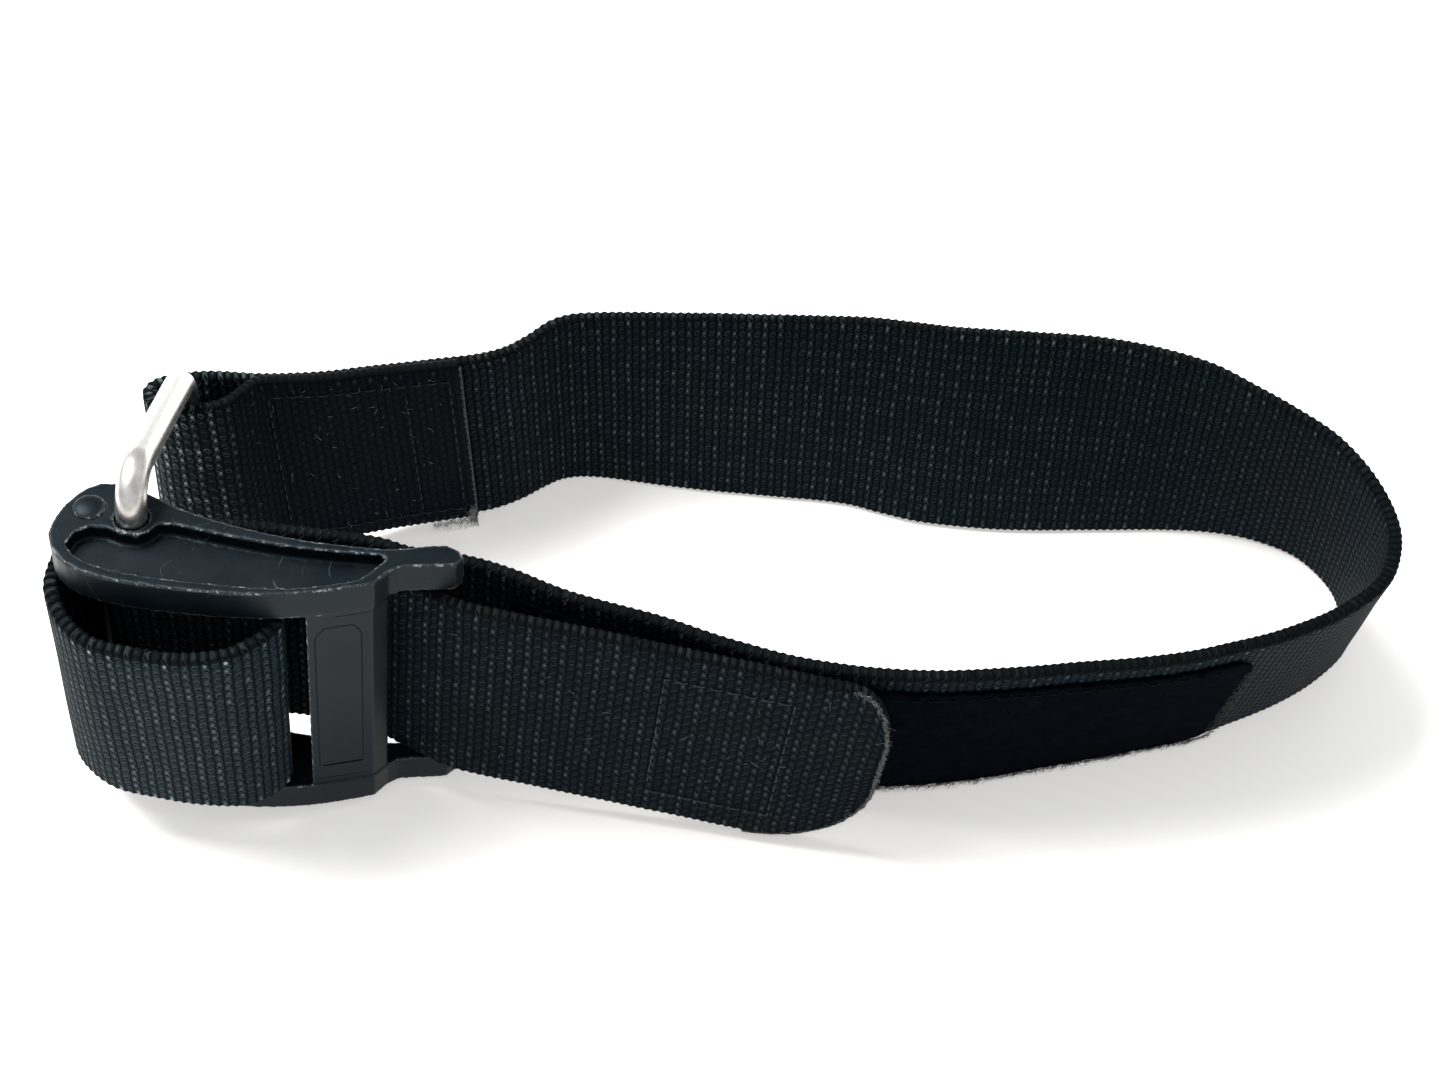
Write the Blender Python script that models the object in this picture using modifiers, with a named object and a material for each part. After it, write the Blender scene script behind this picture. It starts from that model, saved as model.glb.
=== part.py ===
"""Two-inch webbing belt with a cam-lever buckle, a wire bail and a hook-and-loop tail.

Built in metres, +Z up. The belt stands on the long edge of its webbing, the buckle is at -X and the
tail lies along the front (-Y) run. The buckle rests tilted on the lower leg of its bail.
"""
import math

import bmesh
import bpy
from mathutils import Matrix, Vector

MM = 0.001
GAP = 0.3                     # clearance kept between touching pieces

# ---- driving dimensions, millimetres -------------------------------------------------------------
WEB_WIDTH = 50.0
WEB_THICK = 2.6
TAPE_LOW, TAPE_HIGH = 6.0, 44.0          # hook and loop tape across the webbing
TAPE_THICK = 0.9
THREAD_THICK = 0.3
THREAD_WIDTH = 0.9

BUCKLE_TILT = 5.7                        # degrees, top towards +X
PIVOT = (-114.2, -30.6, 6.5)             # bottom end of the lever's pivot axis, in the part frame
BUCKLE_HEIGHT = 65.0
PLATE_THICK = 6.75
PLATE_ROUND = 1.0
RECESS_DEPTH = 2.7
SLOT_REST = 7.5                          # webbing's lower edge above the bottom plate's outer face

WIRE_RADIUS = 2.65
BAIL_HOLE_RADIUS = 3.0
BAIL_BAR_LOW = (2.2, 43.6, -2.4)         # ends of the cross bar's centre line
BAIL_BAR_HIGH = (-1.6, 44.2, 53.9)
BAIL_KNEE_LOW, BAIL_KNEE_HIGH = 3.9, 8.2     # leg centre line beyond each plate
BAIL_BENDS = (5.5, 5.0, 5.0, 3.6)        # upper knee, bar's upper and lower ends, lower knee

END_PIN = (-7.4, 1.1)
END_PIN_RADIUS = 2.1
CAM_BAR = (2.2, -2.6)
CAM_BAR_SIZE = (7.0, 8.6)
TAIL_HINGE = (47.4, -2.3)                # on the tail's outer face

STATION_STEP = 2.5                       # spacing of the sections along straight webbing
TURN_STEP = 1.6                          # and round the tight turns

# ---- routes: x, y of the lower edge, x and y shift of the upper edge, height of the lower edge ---
SEWN_LOOP_ROUTE = [
    (-91.0, 21.8, 0.2, -2.2, 6.5), (-96.1, 19.8, 0.5, -1.3, 7.4), (-98.2, 18.7, 0.7, -1.0, 7.6),
    (-101.2, 14.7, 1.4, -0.2, 7.8), (-104.6, 10.6, 2.2, 0.6, 8.0), (-110.2, 8.2, 2.2, 0.8, 8.0),
    (-116.6, 8.9, 2.8, 0.9, 7.8), (-120.4, 12.0, 3.2, 1.4, 7.4), (-119.0, 15.6, 2.8, 1.2, 7.0),
    (-113.4, 18.4, 1.6, 0.5, 6.7), (-107.0, 19.9, 1.0, 0.0, 6.5), (-97.0, 22.5, 0.5, -1.2, 5.0),
]
BACK_LEFT_ROUTE = [
    (-97.0, 22.5, 0.5, -1.2, 5.0), (-87.0, 26.8, 0.0, -2.8, 3.5), (-77.0, 31.5, 0.0, -3.6, 2.0),
    (-67.0, 35.3, 0.0, -3.9, 0.8), (-58.0, 38.5, 0.0, -4.2, 0.1), (-52.0, 42.0, 0.0, -5.0, 0.0),
    (-47.5, 45.7, 0.0, -4.8, 0.0), (-42.5, 48.8, 0.0, -2.8, 0.0),
]
BACK_ROUTE = [
    (-42.5, 48.8, 0.0, -2.8, 0.0), (-35.0, 49.6, 0.0, -1.4, 0.0), (-17.0, 47.4, 0.0, 2.0, 0.0),
    (1.0, 46.0, 0.0, 4.2, 0.0), (19.0, 44.6, 0.5, 6.3, 0.0), (28.0, 42.0, 1.0, 8.6, 0.0),
    (38.0, 39.6, 0.5, 10.3, 0.0), (54.0, 38.6, 0.0, 10.9, 0.0), (71.0, 39.5, 0.0, 8.6, 0.0),
]
RIGHT_ROUTE = [
    (71.0, 39.5, 0.0, 8.6, 0.0), (89.0, 41.0, -1.0, 1.6, 0.0), (101.0, 40.9, -2.5, -5.3, 0.0),
    (111.0, 38.9, -5.0, -9.0, 0.0), (119.7, 34.1, -6.5, -11.0, 0.0), (125.2, 25.6, -6.5, -13.0, 0.0),
    (126.2, 16.6, -5.5, -14.5, 0.0), (123.2, 8.1, -4.0, -14.7, 0.0), (117.2, 1.6, -2.0, -15.2, 0.0),
    (108.7, -4.8, -1.5, -15.4, 0.0), (98.7, -10.2, -0.5, -15.0, 0.0), (88.2, -15.0, 0.0, -14.3, 0.0),
]
FRONT_ROUTE = [
    (88.2, -15.0, 0.0, -14.3, 0.0), (74.7, -19.0, 0.5, -14.2, 0.0), (58.2, -23.5, 0.5, -12.7, 0.0),
    (42.2, -27.6, 0.5, -11.2, 0.0), (27.2, -29.8, 0.0, -10.3, 0.0), (11.2, -30.6, 0.0, -8.6, 0.2),
    (-3.8, -30.1, 0.0, -6.2, 1.0), (-18.8, -28.6, 0.5, -4.2, 3.0), (-34.8, -26.4, 1.5, -3.9, 5.2),
    (-47.8, -25.0, 3.5, -1.8, 6.8), (-56.8, -24.4, 5.0, -1.0, 8.2), (-66.2, -24.8, 5.0, 0.0, 9.0),
]
# in the buckle's own frame, which starts at the pivot axis
BEHIND_ROUTE = [
    (47.0, 5.8), (41.0, 7.2), (33.0, 7.7), (20.0, 7.8), (9.8, 7.4),
]
SLACK_ROUTE = [
    (-12.5, -6.2, 0.0, 0.0), (-11.9, -10.2, 0.0, -0.6), (-8.6, -14.0, 0.0, -2.8),
    (-3.5, -17.0, 0.0, -4.0), (3.4, -18.0, 0.0, -4.4), (11.0, -18.7, 0.0, -4.0),
    (18.4, -18.2, 0.0, -3.0), (22.5, -16.5, 0.0, -2.0), (25.5, -13.5, 0.4, -0.8),
    (26.0, -10.8, 0.0, 0.0), (24.2, -8.6, 0.0, 0.0), (20.6, -8.3, 0.0, 0.0),
]
RETURN_ROUTE = [(8.0, 3.9), (20.0, 3.9), (31.0, 3.6), (38.0, 2.4), (43.5, 0.8), (47.2, -0.8)]
TAIL_ROUTE = [(47.6, -1.0), (52.5, -3.2), (58.5, -5.4), (80.0, -8.2), (104.0, -11.3), (126.3, -14.2)]
TAIL_ROUND = 9.5                         # the tail's rounded end stands this far past its corners
TAPE_FRONT_START, TAPE_FRONT_END = 92.0, -47.0   # loop tape, in x along the front run
TAPE_OPEN_START = 30.0                   # where the loop tape comes out from under the tail
HOOK_START, HOOK_END = 94.0, 117.0      # hook tape, in x along the tail
FLAP_START, FLAP_END = -97.0, -61.5      # folded-back webbing, in x, as far as its cut end
FLAP_RAISED = 2.4                        # its lower edge above the belt's

# plate outline round the pivot, left end first and then along the back
PLATE_OUTLINE = [
    (-12.8, -5.3), (-12.2, -0.6), (-10.1, 4.0), (-7.0, 6.9), (-3.6, 7.4), (1.4, 5.8), (6.0, 3.8),
    (12.0, 1.8), (20.5, 0.1), (29.0, -0.9), (38.0, -1.1), (45.0, -0.7), (49.9, 0.7), (53.4, 1.4),
    (55.8, 0.5), (56.9, -1.2), (55.6, -2.8), (51.0, -3.7), (46.4, -4.6), (44.6, -5.9), (42.4, -8.8),
    (40.2, -9.7), (31.6, -12.4), (22.8, -14.0), (12.2, -14.5), (1.5, -14.2), (-4.0, -13.3),
    (-8.4, -11.6), (-11.5, -8.6),
]
RECESS_OUTLINE = [
    (-9.4, -7.4), (-8.6, -4.6), (-6.4, -3.0), (-3.6, -2.9), (-1.0, -3.8), (1.6, -3.9), (3.4, -2.8),
    (4.6, -0.9), (7.0, -0.6), (15.4, -1.7), (26.4, -2.7), (37.2, -2.7), (42.6, -2.4), (43.6, -3.2),
    (42.8, -4.6), (41.0, -6.9), (39.6, -8.4), (28.0, -11.8), (12.2, -12.6), (1.6, -12.1),
    (-5.6, -10.6),
]
HANDLE_SECTION = [
    (31.2, -12.1), (42.1, -8.8), (44.4, -5.9), (44.2, -3.6), (32.2, -6.6), (31.2, -7.8),
]


# ---- scene set-up --------------------------------------------------------------------------------
def clear_scene():
    for item in list(bpy.data.objects):
        bpy.data.objects.remove(item, do_unlink=True)


def new_collection(name):
    group = bpy.data.collections.new(name)
    bpy.context.scene.collection.children.link(group)
    return group


def material(name, colour, roughness, metallic=0.0):
    made = bpy.data.materials.new(name)
    made.use_nodes = True
    shader = made.node_tree.nodes["Principled BSDF"]
    shader.inputs["Base Color"].default_value = (*colour, 1.0)
    shader.inputs["Roughness"].default_value = roughness
    shader.inputs["Metallic"].default_value = metallic
    return made


def buckle_matrix():
    place = Matrix.Translation(Vector(PIVOT) * MM)
    return place @ Matrix.Rotation(math.radians(BUCKLE_TILT), 4, "Y")


def make_empty(name, group, matrix):
    empty = bpy.data.objects.new(name, None)
    empty.empty_display_size = 0.01
    empty.matrix_world = matrix
    group.objects.link(empty)
    return empty


def make_object(name, mesh, group, finish, parent=None):
    item = bpy.data.objects.new(name, mesh)
    item.data.materials.clear()
    item.data.materials.append(finish)
    group.objects.link(item)
    if parent is not None:
        item.parent = parent
    return item


def smooth_shade(item, angle=35.0):
    item.data.shade_smooth()
    item.data.set_sharp_from_angle(angle=math.radians(angle))


# ---- routes --------------------------------------------------------------------------------------
def catmull(before, start, end, after, t):
    """Point at t from start to end on the Catmull-Rom curve, for tuples of any length."""
    return tuple(
        0.5 * (2 * b + (c - a) * t + (2 * a - 5 * b + 4 * c - d) * t * t
               + (3 * b - a - 3 * c + d) * t * t * t)
        for a, b, c, d in zip(before, start, end, after))


def smooth_spans(points, step, closed=False):
    """Stations about step apart on a smooth curve, one list from each point to the next."""
    count = len(points)
    result = []
    for i in range(count if closed else count - 1):
        start, end = points[i], points[(i + 1) % count]
        if closed:
            before, after = points[i - 1], points[(i + 2) % count]
        else:
            before = points[i - 1] if i else tuple(2 * s - e for s, e in zip(start, end))
            after = points[i + 2] if i + 2 < count else tuple(2 * e - s for s, e in zip(start, end))
        pieces = max(1, round(math.dist(start[:2], end[:2]) / step))
        result.append([catmull(before, start, end, after, k / pieces) for k in range(pieces)])
    return result


def smooth_route(points, step, closed=False):
    stations = [station for span in smooth_spans(points, step, closed) for station in span]
    return stations if closed else [*stations, points[-1]]


def run_sections(routes, step):
    """Sections of routes that continue one another, a list for each, with a gap between them."""
    points = routes[0] + [point for route in routes[1:] for point in route[1:]]
    spans = smooth_spans(points, step)
    frames = section_frames([station for span in spans for station in span] + [points[-1]])
    runs, first, used = [], 0, 0
    for route in routes:
        length = sum(len(span) for span in spans[used:used + len(route) - 1])
        used += len(route) - 1
        runs.append(shortened(frames[first:first + length + 1], GAP))
        first += length
    return runs


def shortened(frames, amount):
    """The sections with the last one pulled back along the run."""
    last, before = frames[-1], frames[-2]
    share = amount / (last[0] - before[0]).length
    return [*frames[:-1], tuple(a.lerp(b, share) for a, b in zip(last, before))]


def flat_route(points, rest=SLOT_REST):
    """Stations of upright webbing in the buckle's frame."""
    return [(p[0], p[1], p[2] if len(p) > 2 else 0.0, p[3] if len(p) > 3 else 0.0, rest)
            for p in points]


def turn_round(centre, half, radius, start, end, step=12.0):
    """Points round a rounded box of half size and corner radius, from start to end in degrees."""
    count = max(2, round(abs(end - start) / step))
    points = []
    for k in range(count + 1):
        angle = math.radians(start + (end - start) * k / count)
        across, along = math.cos(angle), math.sin(angle)
        points.append((centre[0] + math.copysign(half[0] - radius, across) * min(1.0, abs(across) * 4)
                       + radius * across,
                       centre[1] + math.copysign(half[1] - radius, along) * min(1.0, abs(along) * 4)
                       + radius * along))
    return points


def section_frames(stations):
    """Lower edge, upward direction and normal at each station; a leaning strip stays above its rise."""
    lows, ups = [], []
    for x, y, dx, dy, rise in stations:
        lean = math.hypot(dx, dy) / WEB_WIDTH
        lows.append(Vector((x, y, rise + lean * WEB_THICK / 2)))
        ups.append(Vector((dx / WEB_WIDTH, dy / WEB_WIDTH, math.sqrt(1 - lean ** 2))))
    frames = []
    last = len(stations) - 1
    for i, (low, up) in enumerate(zip(lows, ups)):
        before, after = max(0, i - 1), min(last, i + 1)
        middle = 0.5 * WEB_WIDTH
        along = (lows[after] + ups[after] * middle) - (lows[before] + ups[before] * middle)
        frames.append((low, up, along.cross(up).normalized()))
    return frames


def trimmed(frames, low, high):
    """The sections whose lower edge lies between two values of x."""
    return [f for f in frames if low <= f[0].x <= high]


# ---- solids --------------------------------------------------------------------------------------
def ribbon_mesh(name, frames, thickness, offset=0.0, low=0.0, high=WEB_WIDTH, heights=None):
    """Closed strip that follows the sections, between two heights and offset from the route."""
    mesh = bmesh.new()
    rings = []
    for i, (base, up, normal) in enumerate(frames):
        bottom, top = heights[i] if heights else (low, high)
        inner, outer = offset - thickness / 2, offset + thickness / 2
        corners = [(bottom, inner), (bottom, outer), (top, outer), (top, inner)]
        rings.append([mesh.verts.new((base + up * h + normal * n) * MM) for h, n in corners])
    for a, b in zip(rings, rings[1:]):
        for k in range(4):
            mesh.faces.new((a[k], b[k], b[(k + 1) % 4], a[(k + 1) % 4]))
    mesh.faces.new(rings[0])
    mesh.faces.new(reversed(rings[-1]))
    bmesh.ops.recalc_face_normals(mesh, faces=mesh.faces)
    data = bpy.data.meshes.new(name)
    mesh.to_mesh(data)
    mesh.free()
    return data


def stitch_frame_mesh(name, frames, offset, low, high, width):
    """Open rectangular band of thread that lies on the webbing's face."""
    mesh = bmesh.new()
    levels = [low, low + width, high - width, high]
    columns = [[mesh.verts.new((base + up * h + normal * offset) * MM) for h in levels]
               for base, up, normal in frames]
    last = len(columns) - 2
    for i, (a, b) in enumerate(zip(columns, columns[1:])):
        rows = (0, 1, 2) if i in (0, last) else (0, 2)
        for k in rows:
            mesh.faces.new((a[k], b[k], b[k + 1], a[k + 1]))
    bmesh.ops.recalc_face_normals(mesh, faces=mesh.faces)
    data = bpy.data.meshes.new(name)
    mesh.to_mesh(data)
    mesh.free()
    return data


def apply_solidify(item, thickness):
    shell = item.modifiers.new("thread", "SOLIDIFY")
    shell.thickness = thickness * MM
    shell.offset = 0.0


def outline_mesh(name, outline, bottom, top):
    """Flat piece with the given outline, as a mesh between two heights."""
    curve = bpy.data.curves.new(name, "CURVE")
    curve.dimensions = "2D"
    curve.fill_mode = "BOTH"
    curve.extrude = (top - bottom) / 2 * MM
    spline = curve.splines.new("POLY")
    spline.points.add(len(outline) - 1)
    spline.use_cyclic_u = True
    for point, (x, y) in zip(spline.points, outline):
        point.co = (x * MM, y * MM, 0.0, 1.0)
    holder = bpy.data.objects.new(name, curve)
    bpy.context.scene.collection.objects.link(holder)
    bpy.context.view_layer.update()
    evaluated = holder.evaluated_get(bpy.context.evaluated_depsgraph_get())
    data = bpy.data.meshes.new_from_object(evaluated)
    bpy.data.objects.remove(holder, do_unlink=True)
    mesh = bmesh.new()
    mesh.from_mesh(data)
    bmesh.ops.remove_doubles(mesh, verts=mesh.verts, dist=0.00001)
    bmesh.ops.translate(mesh, verts=mesh.verts, vec=(0, 0, (bottom + top) / 2 * MM))
    bmesh.ops.recalc_face_normals(mesh, faces=mesh.faces)
    mesh.to_mesh(data)
    mesh.free()
    data.name = name
    return data


def cylinder_mesh(name, radius, bottom, top, place=(0.0, 0.0), sides=20):
    mesh = bmesh.new()
    bmesh.ops.create_cone(mesh, cap_ends=True, segments=sides, radius1=radius * MM,
                          radius2=radius * MM, depth=(top - bottom) * MM)
    centre = Vector((place[0], place[1], (top + bottom) / 2)) * MM
    bmesh.ops.translate(mesh, verts=mesh.verts, vec=centre)
    data = bpy.data.meshes.new(name)
    mesh.to_mesh(data)
    mesh.free()
    return data


def boolean(item, other, operation):
    step = item.modifiers.new(operation.lower(), "BOOLEAN")
    step.operation = operation
    step.object = other
    step.solver = "EXACT"


def as_cutter(mesh, cutters, parent):
    item = bpy.data.objects.new(mesh.name, mesh)
    item.hide_render = True
    item.display_type = "WIRE"
    item.parent = parent
    cutters.objects.link(item)
    return item


# ---- the belt's webbing --------------------------------------------------------------------------
def build_belt_webbing(group, finish):
    """The webbing from the folded-back flap round the bail, the back, the right end and the front."""
    routes = [SEWN_LOOP_ROUTE[:2], SEWN_LOOP_ROUTE[1:], BACK_LEFT_ROUTE, BACK_ROUTE, RIGHT_ROUTE,
              FRONT_ROUTE]
    _, sewn_loop, back_left, back, right, front = run_sections(routes, STATION_STEP)
    flap = trimmed(back_left, FLAP_START, FLAP_END)
    mesh = ribbon_mesh("webbing_fold_back", flap, WEB_THICK, WEB_THICK + GAP, low=FLAP_RAISED)
    make_object("webbing_fold_back", mesh, group, finish)
    make_webbing("webbing_sewn_loop", shortened(sewn_loop[::-1], 2 * GAP), group, finish)
    make_webbing("webbing_back_left", back_left, group, finish)
    make_webbing("webbing_back", back, group, finish)
    make_webbing("webbing_right", right, group, finish)
    make_webbing("webbing_front", front, group, finish)
    return flap, front


def make_webbing(name, frames, group, finish, parent=None):
    return make_object(name, ribbon_mesh(name, frames, WEB_THICK), group, finish, parent)


def build_loop_tape(front, group, finish, thread):
    """Soft loop tape sewn to the outer face of the front run, with its two long stitch rows."""
    frames = trimmed(front, TAPE_FRONT_END, TAPE_FRONT_START)
    offset = WEB_THICK / 2 + GAP + TAPE_THICK / 2
    tape = ribbon_mesh("loop_tape", frames, TAPE_THICK, -offset, TAPE_LOW, TAPE_HIGH)
    make_object("loop_tape", tape, group, finish)
    row = -(offset + TAPE_THICK / 2 + GAP + THREAD_THICK / 2)
    open_end = [f for f in frames if f[0].x >= TAPE_OPEN_START]
    for name, low in (("loop_tape_stitch_lower", TAPE_LOW + 1.2),
                      ("loop_tape_stitch_upper", TAPE_HIGH - 1.2 - THREAD_WIDTH)):
        mesh = ribbon_mesh(name, open_end, THREAD_THICK, row, low, low + THREAD_WIDTH)
        make_object(name, mesh, group, thread)


def build_box_stitch(flap, group, thread):
    """Rectangle of thread that sews the folded-back webbing down."""
    inside = banded(flap[2:-1])
    offset = WEB_THICK * 1.5 + 2 * GAP + THREAD_THICK / 2
    mesh = stitch_frame_mesh("box_stitch", inside, offset, 5.0, 45.0, THREAD_WIDTH)
    item = make_object("box_stitch", mesh, group, thread)
    apply_solidify(item, THREAD_THICK)


def banded(frames):
    """The sections with one more next to each end, a thread's width in."""
    def near(a, b):
        share = THREAD_WIDTH / (a[0] - b[0]).length
        return tuple(p.lerp(q, share) for p, q in zip(a, b))
    return [frames[0], near(frames[0], frames[1]), *frames[1:-1],
            near(frames[-1], frames[-2]), frames[-1]]


# ---- bail ----------------------------------------------------------------------------------------
def bail_route():
    """Centre line of the wire, from the upper hole round the cross bar to the lower hole."""
    top = BUCKLE_HEIGHT
    corners = [
        (0.0, 0.0, top - 4.8), (0.0, 0.0, top + BAIL_KNEE_HIGH), BAIL_BAR_HIGH,
        BAIL_BAR_LOW, (0.0, 0.0, -BAIL_KNEE_LOW), (0.0, 0.0, 4.8),
    ]
    points = [Vector(corners[0])]
    for before, corner, after, bend in zip(corners, corners[1:], corners[2:], BAIL_BENDS):
        points += rounded_corner(Vector(before), Vector(corner), Vector(after), bend)
    points.append(Vector(corners[-1]))
    return points


def rounded_corner(before, corner, after, radius, pieces=6):
    """Arc of the given radius in place of a corner."""
    back, ahead = (before - corner).normalized(), (after - corner).normalized()
    half = back.angle(ahead) / 2
    inset = radius / math.tan(half)
    start, end = corner + back * inset, corner + ahead * inset
    centre = corner + (back + ahead).normalized() * (radius / math.sin(half))
    points = []
    for k in range(pieces + 1):
        arm = (start - centre).lerp(end - centre, k / pieces).normalized() * radius
        points.append(centre + arm)
    return points


def build_bail(group, finish, parent):
    curve = bpy.data.curves.new("bail", "CURVE")
    curve.dimensions = "3D"
    curve.bevel_depth = WIRE_RADIUS * MM
    curve.bevel_resolution = 3
    curve.use_fill_caps = True
    spline = curve.splines.new("POLY")
    route = [p - Vector(BAIL_BAR_LOW) for p in bail_route()]
    spline.points.add(len(route) - 1)
    for point, place in zip(spline.points, route):
        point.co = (*(place * MM), 1.0)
    item = bpy.data.objects.new("bail", curve)
    curve.materials.append(finish)
    group.objects.link(item)
    item.parent = parent


# ---- cam lever -----------------------------------------------------------------------------------
def build_lever(group, cutters, finish, parent):
    """One moulding: two side plates with a shallow outer recess, the cam bar and the handle bar."""
    outline = smooth_outline(PLATE_OUTLINE)
    recess = smooth_outline(RECESS_OUTLINE)
    height, thick = BUCKLE_HEIGHT, PLATE_THICK
    lower = make_plate("cam_lever", outline, 0.0, thick, group, finish, parent)
    upper = make_plate("upper_plate", outline, height - thick, height, cutters, finish, parent)
    handle = as_cutter(outline_mesh("handle_bar", HANDLE_SECTION, 2.0, height - 2.0), cutters, parent)
    cam = as_cutter(outline_mesh("cam_bar", cam_outline(), 2.0, height - 2.0), cutters, parent)
    for extra in (upper, handle, cam):
        extra.hide_render = True
        extra.display_type = "WIRE"
        boolean(lower, extra, "UNION")
    for name, bottom, top in (("recess_low", -1.0, RECESS_DEPTH),
                              ("recess_high", height - RECESS_DEPTH, height + 1.0)):
        boolean(lower, as_cutter(outline_mesh(name, recess, bottom, top), cutters, parent),
                "DIFFERENCE")
    holes = (("bail_hole_low", BAIL_HOLE_RADIUS, (0.0, 0.0), -1.0, 5.4),
             ("bail_hole_high", BAIL_HOLE_RADIUS, (0.0, 0.0), height - 5.4, height + 1.0),
             ("pin_hole", END_PIN_RADIUS + GAP, END_PIN, -1.0, height + 1.0))
    for name, radius, place, bottom, top in holes:
        cutter = as_cutter(cylinder_mesh(name, radius, bottom, top, place), cutters, parent)
        boolean(lower, cutter, "DIFFERENCE")
    return lower


def smooth_outline(points, step=2.6):
    return [p[:2] for p in smooth_route(points, step, closed=True)]


def cam_outline():
    half = (CAM_BAR_SIZE[0] / 2, CAM_BAR_SIZE[1] / 2)
    return turn_round(CAM_BAR, half, 3.0, 0.0, 345.0, 15.0)


def make_plate(name, outline, bottom, top, group, finish, parent):
    plate = make_object(name, outline_mesh(name, outline, bottom, top), group, finish, parent)
    edge = plate.modifiers.new("edge", "BEVEL")
    edge.width = PLATE_ROUND * MM
    edge.segments = 2
    edge.limit_method = "ANGLE"
    edge.angle_limit = math.radians(50)
    return plate


def build_end_pin(group, finish, parent):
    """Pin across the left end of the lever, with a low dome at each end."""
    half, dome = BUCKLE_HEIGHT / 2, 0.9
    profile = [(0.0, half + dome), (0.9, half + 0.85 * dome), (1.6, half + 0.5 * dome),
               (END_PIN_RADIUS, half - 0.1)]
    profile += [(r, -z) for r, z in reversed(profile)]
    mesh = bmesh.new()
    verts = [mesh.verts.new((r * MM, 0.0, z * MM)) for r, z in profile]
    for a, b in zip(verts, verts[1:]):
        mesh.edges.new((a, b))
    data = bpy.data.meshes.new("end_pin")
    mesh.to_mesh(data)
    mesh.free()
    item = make_object("end_pin", data, group, finish, parent)
    item.location = (END_PIN[0] * MM, END_PIN[1] * MM, half * MM)
    turn = item.modifiers.new("turn", "SCREW")
    turn.steps = turn.render_steps = 20
    turn.use_merge_vertices = True
    turn.merge_threshold = 0.00001


def build_lever_webbing(group, finish, parent):
    """The webbing threaded through the lever: round the end pin, out in a slack loop and back."""
    wrap_radius = END_PIN_RADIUS + GAP + WEB_THICK / 2
    wrap = turn_round(END_PIN, (wrap_radius, wrap_radius), wrap_radius, 95.0, 180.0)
    wrap = [(3.4, 6.8), (-2.0, 6.0), *wrap, (-12.2, -2.4), SLACK_ROUTE[0]]
    half = (CAM_BAR_SIZE[0] / 2 + GAP + WEB_THICK / 2, CAM_BAR_SIZE[1] / 2 + GAP + WEB_THICK / 2)
    turn = turn_round(CAM_BAR, half, 4.2, 250.0, 110.0)
    turn = [SLACK_ROUTE[-1], (12.0, -8.5), *turn, *RETURN_ROUTE[:3]]
    routes = [flat_route(points) for points in (wrap, SLACK_ROUTE, turn, RETURN_ROUTE[2:])]
    names = ("webbing_end_wrap", "webbing_slack_loop", "webbing_cam_turn", "webbing_tail_root")
    for name, frames in zip(names, run_sections(routes, TURN_STEP)):
        make_webbing(name, frames, group, finish, parent)


# ---- tail ----------------------------------------------------------------------------------------
def tail_sections():
    """Sections along the tail and the heights between which it is cut, rounded at the end."""
    straight = smooth_route(TAIL_ROUTE, STATION_STEP)
    heights = [(0.0, WEB_WIDTH)] * len(straight)
    ahead = Vector(straight[-1][:2]) - Vector(straight[-2][:2])
    ahead.normalize()
    half = WEB_WIDTH / 2
    for k in range(1, 9):
        angle = math.radians(10.0 * k)
        x, y = Vector(TAIL_ROUTE[-1]) + ahead * TAIL_ROUND * math.sin(angle)
        straight.append((x, y))
        spread = half * math.cos(angle) ** 0.6
        heights.append((half - spread, half + spread))
    return section_frames(flat_route(straight)), heights


def build_tail(group, webbing, hook, thread, parent):
    frames, heights = tail_sections()
    make_object("webbing_tail", ribbon_mesh("webbing_tail", frames, WEB_THICK, heights=heights),
                group, webbing, parent)
    inside = trimmed(frames, HOOK_START, HOOK_END)
    offset = WEB_THICK / 2 + GAP + TAPE_THICK / 2
    tape = ribbon_mesh("hook_tape", inside, TAPE_THICK, -offset, TAPE_LOW, TAPE_HIGH)
    make_object("hook_tape", tape, group, hook, parent)
    row = WEB_THICK / 2 + GAP + THREAD_THICK / 2
    mesh = stitch_frame_mesh("hook_tape_stitch", banded(inside), row, TAPE_LOW + 1.0,
                             TAPE_HIGH - 1.0, THREAD_WIDTH)
    item = make_object("hook_tape_stitch", mesh, group, thread, parent)
    apply_solidify(item, THREAD_THICK)


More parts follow.
